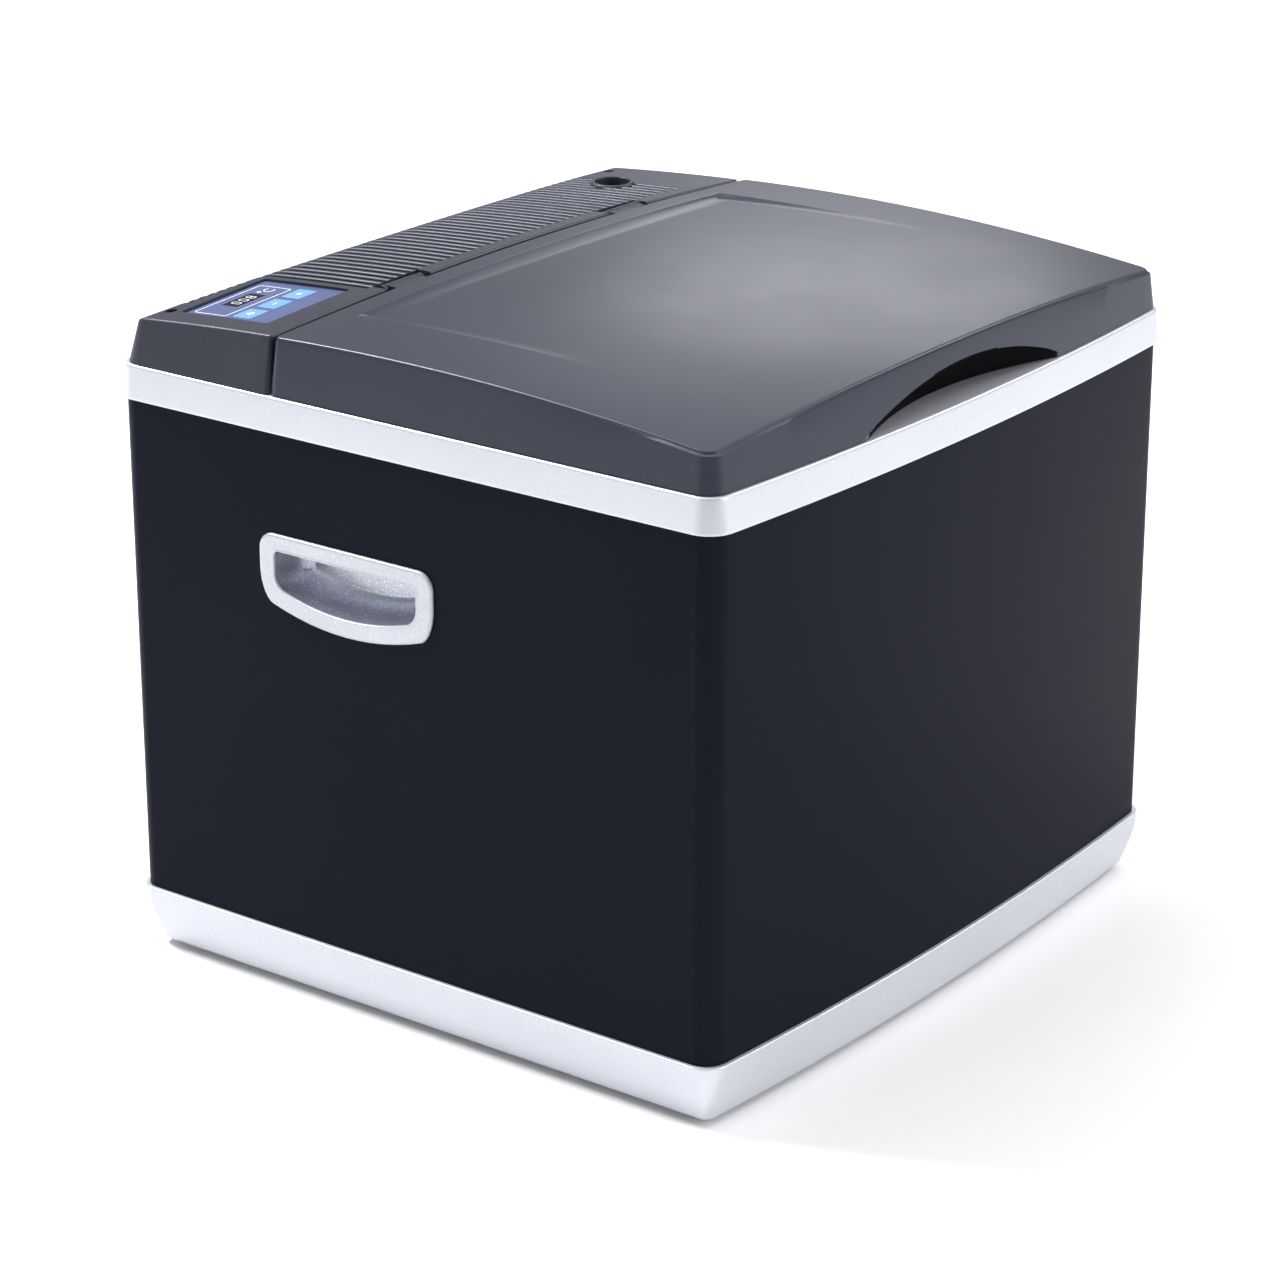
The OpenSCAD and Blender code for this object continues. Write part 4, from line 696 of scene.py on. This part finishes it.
def make_lid():
    """The lid's skin: a crowned top with its sunk panel, a rounded edge, drafted walls and the finger notch."""
    edge = FILLET[-1][0]
    front = -HALF_D + LID_FRONT_IN
    plan = bowed_plan(LID_TOP_X - edge, front + edge, LID_BACK_Y - 0.5 - edge, BOW, LID_CORNER, 2.0)
    half_xs = [*range(0, 101, 5), 98, 104, 108, NOTCH_W, 125, 127, 140, 155, 170, 178, PANEL_X - SIDE_RAMP,
               PANEL_X - 0.5, PANEL_X, PANEL_X + 0.6, 196, 212, 225]
    ys = [-205, -180, -150, -120, PANEL_FRONT_Y, -75, -60, -40, -20, 0, 20, 40, 60, 72, PANEL_BACK_Y - 6,
          PANEL_BACK_Y - 0.5, PANEL_BACK_Y, PANEL_BACK_Y + 0.6, 95, 100]
    bm = gridded([p for p, n in plan], sorted({s * x for s in (-1, 1) for x in half_xs}), ys)
    for v in bm.verts:
        if abs(v.co.y - (PANEL_BACK_Y - 6)) < 0.01 and abs(v.co.x) < PANEL_X - 1:
            v.co.y = PANEL_BACK_Y - back_ramp(v.co.x)
    for v in bm.verts:
        v.co.z = lid_height(v.co.x, v.co.y)

    def wall(share, rim=0.0):
        """A point on the drafted wall, from the fillet's foot (0) to the rim or the notch's arch (1)."""
        def place(start, n):
            top = start.z + FILLET[-1][1]
            is_front = start.y < front + 60 and n.y < -0.3
            low = LID_Z + (notch_rise(start.x) if is_front else 0)
            z = top + (low - top) * share
            draft = SIDE_DRAFT if abs(n.x) > 0.5 else FRONT_DRAFT if n.y < 0 else BACK_DRAFT
            out = edge + draft * (DRAFT_TOP_Z - z) / (DRAFT_TOP_Z - LID_Z)
            return Vector((start.x + n.x * out, start.y + n.y * out, z))
        return place

    def notch(depth_share, drop):
        """The notch's ceiling and inner wall; the rest of the rim stays where it is."""
        outside = wall(1)

        def place(start, n):
            p = outside(start, n)
            if start.y < front + 60 and n.y < -0.3 and abs(start.x) < NOTCH_W:
                inner = -HALF_D + NOTCH_D * (1 - (start.x / NOTCH_W) ** 2)
                p.y = p.y + (max(inner, p.y) - p.y) * depth_share
                p.z = p.z + (LID_Z - p.z) * drop
            return p
        return place

    def rim(inset, up):
        outside = notch(1, 1)

        def place(start, n):
            p = outside(start, n)
            return Vector((p.x - n.x * inset, p.y - n.y * inset, LID_Z + up))
        return place

    steps = [fillet(*f) for f in FILLET[1:]] + [wall(share) for share in (0.04, 0.5, 0.94, 0.985, 1)]
    steps += [notch(0.03, 0), notch(0.97, 0), notch(1, 0.04), notch(1, 1), rim(3, 0), rim(3.2, 5.6)]
    edges = grow_border(bm, steps)
    bmesh.ops.contextual_create(bm, geom=edges)
    bmesh.ops.remove_doubles(bm, verts=bm.verts, dist=0.02)
    skin = drawn_in_mm("lid_skin", bm)
    cut(skin, [box_between((low.x - 0.3, low.y - 0.05, low.z - 0.3),
                           (high.x + 0.3, LID_BACK_Y + 2, high.z + 0.4)) for low, high in arm_boxes()])
    finish_piece(skin, LID, "lid_plastic", "lid_shell", crease=38)
    skin.data.materials.append(finishes["notch_painted_shade"])
    # Painted shade: the notch's inner wall and ceiling take the near-black finish.
    for face in skin.data.polygons:
        x, y, z = face.center / MM
        behind_front = BOW * (x / HALF_W) ** 2 - HALF_D + 1.6 < y < NOTCH_D - HALF_D + 1
        if behind_front and abs(x) < NOTCH_W and LID_Z - 1 < z < LID_Z + notch_rise(x) + 0.5:
            face.material_index = 1


ARM_W = 30


def arm_boxes():
    """Where each hinge arm's leaf lies in the lid's back face."""
    low, high = box_mm("lid_hinge_arms")
    inner, leaf_t = high.x - ARM_W, 3
    return [(Vector((low.x, LID_BACK_Y - leaf_t, low.z)), Vector((-inner, high.y, high.z))),
            (Vector((inner, LID_BACK_Y - leaf_t, low.z)), Vector((high.x, high.y, high.z)))]


# ---------------- the machinery cover

COVER_FRONT_Y, COVER_LOW_Z = (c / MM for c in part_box("machinery_cover")[0].yz)
COVER_TOP_X, COVER_BACK_IN, COVER_CORNER, COVER_T = 240.4, 8.4, 9.0, 3
BACK_DRAFT_MORE = 6.2
CROWN_Z, CROWN_Y, CROWN_ALONG, CROWN_ACROSS, CROWN_ROLL = 438.6, 15.5, 4348, 7142, 1.2
SLOT_PITCH, SLOT_W = 8.0, 4.2
SLOT_XS = [SLOT_PITCH * i - 136 for i in range(41)]
SHORT_SLOT_XS = [SLOT_PITCH * i - 200 for i in range(7)]
SLOT_FRONT_Y, SHORT_SLOT_FRONT_Y, SLOT_BACK_Y = 122.0, 209.0, HALF_D - 10.9
# The back slope: distance in from the back, and height above the top frame.
BACK_SLOPE = [(0, 0), (4, 11), (7.5, 21), (12.5, 27.5), (18.5, 32), (27, 36.3), (40, 42), (200, 112)]
RING_X, RING_Y, RING_TOP_Z = 177.0, 170.5, 430.8
COVER_SCREWS = [(side * 222.0, 208.0) for side in (-1, 1)]
SCREW_HEAD_Z = RIM_Z + 16
HINGE_X, HINGE_NOTCH_Z, HINGE_NOTCH_HALF_W, HINGE_NOTCH_D = 113.0, 425.0, 22, 11
LIP_ROUND = 1.65
BAR_YS, BAR_W, BAR_T, BAR_DOWN = (145, 178), 5, 7, 2.6


def cover_height(x, y):
    """Crown of the cover, rolling over softly into its back slope."""
    crown = CROWN_Z - (y - CROWN_Y) ** 2 / CROWN_ALONG - x ** 2 / CROWN_ACROSS
    inward = HALF_D - y
    (a, low), (b, high) = next(pair for pair in zip(BACK_SLOPE, BACK_SLOPE[1:]) if inward <= pair[1][0])
    slope = RIM_Z + low + (high - low) * (inward - a) / (b - a)
    return min(crown, slope) - CROWN_ROLL * math.log(1 + math.exp(-abs(crown - slope) / CROWN_ROLL))


def in_slot(x, y):
    """Whether a place in the cover's top is open to the machinery below."""
    half = SLOT_W / 2
    return y < SLOT_BACK_Y and (y > SLOT_FRONT_Y and any(abs(x - c) < half for c in SLOT_XS)
                                or y > SHORT_SLOT_FRONT_Y and any(abs(x - c) < half for c in SHORT_SLOT_XS))


def cover_skin():
    """The cover's skin: a crowned sheet with open slots, a rounded edge and drafted walls, 3 mm thick."""
    edge = FILLET[-1][0]
    plan = bowed_plan(COVER_TOP_X - edge, COVER_FRONT_Y + edge, HALF_D - COVER_BACK_IN, 0, 1.0, COVER_CORNER)
    xs = [c + s * SLOT_W / 2 for c in SLOT_XS + SHORT_SLOT_XS for s in (-1, 1)]
    xs += [-234, -226, -214, -208, -144, 190, 198, 208, 218, 228, 235]
    ys = [SLOT_FRONT_Y, 132, 142, 152, 162, 172, 182, 190, 196, 201, 205, SHORT_SLOT_FRONT_Y, 212, 215, 217.5,
          219.8, SLOT_BACK_Y]
    bm = gridded([p for p, n in plan], sorted(xs), ys)
    edges = [e for e in bm.edges if e.is_boundary]
    bmesh.ops.delete(bm, geom=[f for f in bm.faces if in_slot(*f.calc_center_median().xy)], context="FACES")
    for v in bm.verts:
        v.co.z = cover_height(v.co.x, v.co.y)

    def wall(share):
        def place(start, n):
            top = start.z + FILLET[-1][1]
            z = top + (COVER_LOW_Z - top) * share
            back = BACK_DRAFT_MORE * n.y ** 2 if n.y > 0 else 0
            out = edge + share * (n.x ** 2 * (HALF_W - COVER_TOP_X) + back)
            return Vector((start.x + n.x * out, start.y + n.y * out, z))
        return place

    grow_border(bm, [fillet(*f) for f in FILLET[1:]] + [wall(0.05), wall(0.5), wall(0.96), wall(1)], edges)
    skin = drawn_in_mm("slotted_cover", bm)
    thicken = skin.modifiers.new("wall", "SOLIDIFY")
    thicken.thickness = COVER_T * MM
    thicken.offset = -1
    thicken.use_even_offset = True
    bm = bmesh.new()
    bm.from_mesh(shape_now(skin))
    bm.normal_update()
    lips = [e for e in bm.edges if e.is_manifold and e.calc_face_angle() > 1.0
            and max(f.normal.z for f in e.link_faces) > 0.45]
    bmesh.ops.bevel(bm, geom=lips, offset=LIP_ROUND * MM, affect="EDGES", segments=4, profile=0.5,
                    material=-1)
    skin.modifiers.clear()
    bm.to_mesh(skin.data)
    bm.free()
    return skin


def cross_bar(y):
    """A bar under the ribs that ties them together, following the crown."""
    left, right = -142, 192
    corners = [Vector(c) for c in ((left, y), (right, y), (right, y + BAR_W), (left, y + BAR_W))]
    bm = gridded(corners, range(-120, right, 24), [])
    for v in bm.verts:
        v.co.z = cover_height(v.co.x, y + BAR_W / 2) - BAR_DOWN
    grown = bmesh.ops.extrude_face_region(bm, geom=bm.faces[:])["geom"]
    bmesh.ops.translate(bm, vec=(0, 0, -BAR_T), verts=[g for g in grown if isinstance(g, bmesh.types.BMVert)])
    return drawn_in_mm("bar", bm)


def make_cover():
    """The slotted cover with its bars, ring and panel seat, opened for hinges, screws, window and keys."""
    cover = cover_skin()
    ring = [(0, -12), (14.6, -12), (15, -2.4), (14.8, -1.2), (14.3, -0.4), (13.6, 0), (0, 0)]
    bore = [(0, 400 - RING_TOP_Z), (12, 400 - RING_TOP_Z), (12, -0.9), (12.3, -0.3), (13, 0.1),
            (13, 450 - RING_TOP_Z), (0, 450 - RING_TOP_Z)]
    ring_centre = (RING_X, RING_Y, RING_TOP_Z)
    additions = [cross_bar(y) for y in BAR_YS]
    additions.append(turned(ring, ring_centre, (0, 0, 1)))
    additions.append(on_panel(0, 0, FILM_W + 6, FILM_D + 6, -4.5, -0.5))
    additions += [rod(6, RIM_Z + 8, 419, (x, y, 0)) for x, y in COVER_SCREWS]
    cut(cover, additions, "UNION")

    screw_hole = [(0, 390), (1.9, 390), (1.9, SCREW_HEAD_Z), (3.8, SCREW_HEAD_Z), (3.8, 450), (0, 450)]
    openings = [turned(bore, ring_centre, (0, 0, 1))]
    openings += [turned(screw_hole, (x, y, 0), (0, 0, 1)) for x, y in COVER_SCREWS]
    openings += [box_between((side * HINGE_X - HINGE_NOTCH_HALF_W, COVER_FRONT_Y - 2, HINGE_NOTCH_Z),
                             (side * HINGE_X + HINGE_NOTCH_HALF_W, COVER_FRONT_Y + HINGE_NOTCH_D, 450))
                 for side in (-1, 1)]
    openings.append(on_panel(0, 0, FILM_W + 0.4, FILM_D + 0.4, -FILM_T, 20, 2.7))
    openings += [on_panel(u, KEY_V, KEY_W + 0.6, KEY_D + 0.6, -9, 9, 1.2) for u in KEY_US]
    openings.append(on_panel(0, WINDOW_V, WINDOW_W + 1.6, WINDOW_D + 1.6, -9, 9))
    cut(cover, openings)
    finish_piece(cover, CABINET, "dark_plastic", "machinery_cover", crease=42)


# ---------------- the control panel

FILM_W, FILM_D, FILM_T = 77.0, 71.0, 0.6
KEY_W, KEY_D, KEY_V, KEY_US = 17.5, 15.0, -7.5, (-22.5, 0.0, 22.5)
WINDOW_W, WINDOW_D, WINDOW_V = 27.0, 13.0, 18.5
TILT = Matrix.Rotation(math.radians(-3), 4, "Y") @ Matrix.Rotation(math.radians(-3.9), 4, "X")
film_low, film_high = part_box("control_fascia")
PANEL = Matrix.Translation((film_low + film_high) / 2 / MM + TILT @ Vector((0, 0, FILM_T / 2))) @ TILT
PRINT_T, PRINT_LOW, SIGN_LOW = 0.06, 0.02, 0.37
DIGIT_US, DIGIT_W, DIGIT_H, STROKE = (-8.4, -1.7, 5.0), 3.4, 6.4, 0.6
# Each bar of a digit: steps across and up from its lower left corner, and whether it lies flat.
SEGMENTS = {"a": (0, 4, 1), "b": (1, 2, 0), "c": (1, 0, 0), "d": (0, 0, 1), "e": (0, 0, 0), "f": (0, 2, 0),
            "g": (0, 2, 1)}


def on_panel(u, v, width, depth, low, high, corner=0.0):
    """A block on the panel, centred at (u, v), between two heights over its face."""
    return box_between((u - width / 2, v - depth / 2, low), (u + width / 2, v + depth / 2, high), corner,
                       tilt=PANEL)


def print_bar(u, v, across, along, low=PRINT_LOW):
    """A printed bar on the panel, centred at (u, v)."""
    return on_panel(u, v, across, along, low, low + PRINT_T)


def print_arc(u, v, radius, start, sweep, low=PRINT_LOW):
    """A printed arc on the panel. Angles are in degrees."""
    bm = bmesh.new()
    half, steps = 0.35, 24
    face = bm.faces.new([bm.verts.new((radius + r, 0, low + h))
                         for r, h in ((-half, 0), (half, 0), (half, PRINT_T), (-half, PRINT_T))])
    about = dict(cent=(0, 0, 0), axis=(0, 0, 1), angle=math.radians(sweep), steps=steps)
    if sweep < 360:
        bmesh.ops.spin(bm, geom=[face], **about)
    else:
        bmesh.ops.spin(bm, geom=face.edges[:], use_merge=True, **about)
        bmesh.ops.delete(bm, geom=[face], context="FACES_ONLY")
        bmesh.ops.remove_doubles(bm, verts=bm.verts, dist=0.001)
    bmesh.ops.recalc_face_normals(bm, faces=bm.faces)
    place = PANEL @ Matrix.Translation((u, v, 0)) @ Matrix.Rotation(math.radians(start), 4, "Z")
    bmesh.ops.transform(bm, matrix=Matrix.Scale(MM, 4) @ place, verts=bm.verts)
    return as_object("arc", bm)


def make_panel():
    """Printed film with its openings, the smoked window with its digits, the white print and three keys."""
    film = on_panel(0, 0, FILM_W, FILM_D, -FILM_T, 0, 2.5)
    film.name = "printed_film"
    holes = [on_panel(u, KEY_V, KEY_W + 0.5, KEY_D + 0.5, -3, 3, 1.1) for u in KEY_US]
    holes.append(on_panel(0, WINDOW_V, WINDOW_W, WINDOW_D, -3, 3, 0.8))
    cut(film, holes)
    finish_piece(film, CABINET, "fascia_print", "control_fascia")

    window = on_panel(0, WINDOW_V, WINDOW_W - 0.2, WINDOW_D - 0.2, -FILM_T, -0.02, 0.7)
    window.name = "smoked_window"
    finish_piece(window, CABINET, "window_plastic", "display_window")

    digits = []
    for left, lit in zip(DIGIT_US, ("abcdef", "abcdef", "abcdefg")):
        for i, j, flat in (SEGMENTS[name] for name in lit):
            u = left + (i + flat / 2) * DIGIT_W
            v = WINDOW_V + (j / 4 - 0.5 + (0 if flat else 0.25)) * DIGIT_H
            across, along = (2.9, STROKE) if flat else (STROKE, 2.7)
            digits.append(print_bar(u, v, across, along, -0.01))
    finish_piece(joined("display_digits", digits), CABINET, "window_plastic", material=finishes["lit_digits"])

    left, right, low, high, corner = -31.5, 29.5, 5.2, 31.0, 2.0
    middle_u, middle_v, wide, tall = (left + right) / 2, (low + high) / 2, right - left - 4, high - low - 4
    marks = [print_bar(u, middle_v, STROKE, tall) for u in (left, right)]
    marks += [print_bar(middle_u, v, wide, STROKE) for v in (low, high)]
    marks += [print_arc(u, v, corner, start, 90) for u, v, start in (
        (right - corner, high - corner, 0), (left + corner, high - corner, 90),
        (left + corner, low + corner, 180), (right - corner, low + corner, 270))]
    marks += [print_arc(17.5, 21.6, 1.1, 0, 360), print_arc(23.4, 18.2, 3.5, 50, 260)]
    finish_piece(joined("panel_print", marks), CABINET, "fascia_print", material=finishes["white_ink"])

    for node, u in zip(("key_left", "key_middle", "key_right"), KEY_US):
        top = on_panel(u, KEY_V, KEY_W, KEY_D, -5, 0.4, 1.0)
        foot = on_panel(u, KEY_V, KEY_W + 3, KEY_D + 3, -5.5, -4.7, 1.0)
        key = cut(top, [foot], "UNION")
        key.name = node.replace("key_", "blue_key_")
        round_off(key, 0.3)
        finish_piece(key, node, "key_plastic", node)
        if node == "key_left":
            icon = [print_arc(u, KEY_V, 2.0, 125, 290, SIGN_LOW),
                    print_bar(u, KEY_V + 1.5, 0.7, 2.4, SIGN_LOW)]
        else:
            icon = [print_bar(u, KEY_V, 4.4, 0.8, SIGN_LOW)]
        if node == "key_right":
            icon.append(print_bar(u, KEY_V, 0.8, 4.4, SIGN_LOW + 0.01))
        finish_piece(joined(key.name + "_sign", icon), node, "key_plastic", material=finishes["white_ink"])


# ---------------- bin, lid liner and gasket

def tub_plan(node, flange, radius):
    """Plan of a rounded tub, from the box of its CAD node less its flange."""
    low, high = box_mm(node)
    return bowed_plan((high.x - low.x) / 2 - flange, low.y + flange, high.y - flange, 0, radius, radius)


def make_bin():
    """Vacuum-formed bin: a rolled flange, smooth walls and a floor that runs into them in a wide radius."""
    low, high = box_mm("bin_liner")
    floor, top = low.z, high.z
    section = [
        (-13, floor), (-8, floor + 0.4), (-3.4, floor + 2.6), (-0.2, floor + 6.6), (1.6, floor + 12),
        (2, floor + 17), (2, top - 2), (8.8, top - 2), (9, top - 1.6), (9, top - 0.5), (8.6, top), (1.6, top),
        (0.7, top - 0.3), (0.1, top - 1.2), (0, top - 3), (0, top - 60), (0, floor + 60), (-0.1, floor + 17),
        (-0.8, floor + 12.6), (-2.6, floor + 8), (-5.6, floor + 4.6), (-9.4, floor + 2.7), (-13, floor + 2)]
    bin_piece = band("cooling_bin", tub_plan("bin_liner", 9, 16), section, solid=True)
    finish_piece(bin_piece, CABINET, "bin_plastic", "bin_liner", crease=50)


PLUG_IN = 11


def make_lid_liner():
    """Inside of the lid: a flat plate round a formed plug, whose face is pressed in a little inside its rim."""
    low, high = box_mm("lid_liner")
    plate_low = high.z - 2
    plate = band("lid_inner", bowed_plan(HALF_W - 4.2, -HALF_D + 6, high.y, BOW, 9, 1.5),
                 [(0, plate_low), (0, high.z - 0.01)], True)
    notch_plan = [Vector((x, -HALF_D + 3.4 + NOTCH_D * (1 - (x / NOTCH_W) ** 2), 0))
                  for x in range(-112, 113, 8)]
    notch_plan += [Vector((x, -HALF_D - 20, 0)) for x in (112, -112)]
    levels = (plate_low - 3, high.z + 3)
    cut(plate, [lofted("notch", [[p + Vector((0, 0, z)) for p in notch_plan] for z in levels])])
    gasket_low, gasket_high = box_mm("lid_gasket")
    section = [(29, 1.8), (27.5, 1.5), (25.5, 0.3), (24, 0), (4, 0), (1.8, 0.6), (0.5, 2), (0, 4.2)]
    rings = [(inset, low.z + up) for inset, up in section] + [(0, plate_low + 0.6)]
    plug = []
    for inset, z in rings:
        inwards, corner = PLUG_IN + inset, max(14 - inset, 4)
        plan = bowed_plan(gasket_high.x - inwards, gasket_low.y + inwards, gasket_high.y - inwards, 0, corner,
                          corner)
        plug.append(ring_at(plan, 0, z))
    liner = cut(plate, [lofted("plug", plug)], "UNION")
    finish_piece(liner, LID, "bin_plastic", "lid_liner", crease=50)


def make_lid_foam():
    """Foam that fills the lid between its skin and its liner, cut to a loose fit."""
    half_w, front, back, corner, skin_t, liner_t = 228, -198.0, LID_BACK_Y - 12, 12, 4, 6
    bm = gridded([p for p, n in bowed_plan(half_w, front, back, 0, corner, corner)], range(-200, 201, 40),
                 range(-180, 90, 30))
    for v in bm.verts:
        v.co.z = lid_height(v.co.x, v.co.y) - skin_t
    edges = grow_border(bm, [lambda start, n: Vector((start.x, start.y, LID_Z + liner_t))])
    bmesh.ops.contextual_create(bm, geom=edges)
    finish_piece(drawn_in_mm("lid_filling", bm), LID, "foam", "lid_foam")


def make_gasket():
    """Extruded gasket: a soft round bulb that seals on the bin's flange, and a flat foot in the lid."""
    low, high = box_mm("lid_gasket")
    plan = bowed_plan(high.x, low.y, high.y, 0, 22, 22)
    foot, bulb = high.z, low.z
    seal = band("gasket", plan, [
        (0, foot), (0, foot - 0.9), (-1.2, foot - 1.2), (-0.7, foot - 2.2), (-1.0, bulb + 0.6), (-2.2, bulb),
        (-4.4, bulb), (-5.8, bulb + 0.7), (-6.1, foot - 2.1), (-5.6, foot - 1.2), (-8, foot - 0.9), (-8, foot),
        (0, foot)])
    finish_piece(seal, LID, "gasket_rubber", "lid_gasket", crease=50)


# ---------------- back panel, inlets and screws

def upright_matrix(x, y, z):
    """Stands a shape drawn flat on the back panel, facing out at +Y."""
    return Matrix.Translation((x, y, z)) @ Matrix.Rotation(math.radians(-90), 4, "X")


# A pan head from its recess down to its seat, in shares of its radius and height.
PAN_HEAD = [(0, 0.35), (0.18, 0), (0.3, 0.96), (0.5, 1), (0.78, 0.86), (0.94, 0.55), (1, 0.2), (1, 0)]


def make_screws(name, node, body, slot, places, axis, radius, height, shank, length):
    """Pan-head screws with a driver recess, one at each place on the surface that they clamp."""
    profile = [(radius * r, height * h) for r, h in PAN_HEAD] + [(shank, 0), (shank, -length), (0, -length)]
    screws = [turned(profile, place, axis, 28) for place in places]
    recess = []
    away = Vector(axis)
    side = away.orthogonal().normalized()
    for place in places:
        for way in (side, away.cross(side)):
            slot_bm = bmesh.new()
            bmesh.ops.create_cube(slot_bm, size=1)
            bmesh.ops.scale(slot_bm, vec=(radius * 1.15, radius * 0.24, height * 1.2), verts=slot_bm.verts)
            turn = Matrix((way, away.cross(way), away)).transposed().to_4x4()
            place_it = Matrix.Scale(MM, 4) @ Matrix.Translation(Vector(place) + away * height * 0.95) @ turn
            bmesh.ops.transform(slot_bm, matrix=place_it, verts=slot_bm.verts)
            recess.append(as_object("recess", slot_bm))
    piece = joined(name, screws)
    cut(piece, [joined("recesses", recess[0::2]), joined("recesses", recess[1::2])])
    finish_piece(piece, body, slot, node, crease=35)


INLET_FLANGE_T, INLET_WALL = 1.2, 1.5


def make_inlet(name, node, flange, opening, depth):
    """An inlet: a rounded flange over the body behind the panel, with a chamfered, rounded opening."""
    low, high = box_mm(node)
    x, z, face = (low.x + high.x) / 2, (low.z + high.z) / 2, high.y
    stand = upright_matrix(x, face, z)
    body_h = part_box("back_panel")[1].y / MM - low.y - 0.1

    def block(size, low_z, high_z, corner):
        return box_between((-size[0] / 2, -size[1] / 2, low_z), (size[0] / 2, size[1] / 2, high_z), corner,
                           tilt=stand)

    shell = block(flange, -INLET_FLANGE_T, 0, 4)
    shell.name = name
    walls = [side + 2 * INLET_WALL for side in opening]
    cut(shell, [block(walls, -INLET_FLANGE_T - body_h, -0.3, 2)], "UNION")
    holes = [block(opening, -depth - INLET_FLANGE_T, 3, 2.4)]
    holes += [rod(1.7, -4, 4, (x + s * (flange[0] / 2 - 5), face, z), (0, 1, 0), 24) for s in (-1, 1)]
    cut(shell, holes)
    round_off(shell, 0.35)
    finish_piece(shell, CABINET, "inlet_plastic", node)
    return x, z


def make_back():
    """The inlets and the screws that show on the back and the cover."""
    panel_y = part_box("back_panel")[1].y / MM
    flange_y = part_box("mains_inlet")[1].y / MM
    mains_x, inlet_z = make_inlet("mains_socket", "mains_inlet", (50, 22.5), (24, 16.5), 16)
    dc_x, inlet_z = make_inlet("low_voltage_socket", "dc_inlet", (44, 20), (22, 12), 14)
    make_screws("inlet_screws_recessed", "inlet_screws", CABINET, "steel_screw",
                [(x, flange_y, inlet_z) for x in (mains_x - 20, mains_x + 20, dc_x - 17, dc_x + 17)],
                (0, 1, 0), 2.8, 0.6, 1.6, 5)
    make_screws("panel_screws_recessed", "back_panel_screws", CABINET, "black_screw",
                [(x, panel_y, z) for x in (-224, 224) for z in (60, 160, 260, 358)],
                (0, 1, 0), 3.4, 1.4, 1.7, 6)
    make_screws("cover_screws_recessed", "cover_screws", CABINET, "black_screw",
                [(x, y, SCREW_HEAD_Z) for x, y in COVER_SCREWS], (0, 0, 1), 3.4, 2.4, 1.6, 23)


set_the_studio()
for name, node in frame["nodes"].items():
    slot = next(s["material_slot"] for s in frame["record"]["subparts"] if s["node"] == name)
    for place in node.material_slots:
        place.material = finishes[slot]
make_casing()
make_feet()
make_handles()
make_lid()
make_cover()
make_panel()
make_bin()
make_lid_liner()
make_gasket()
make_lid_foam()
make_back()
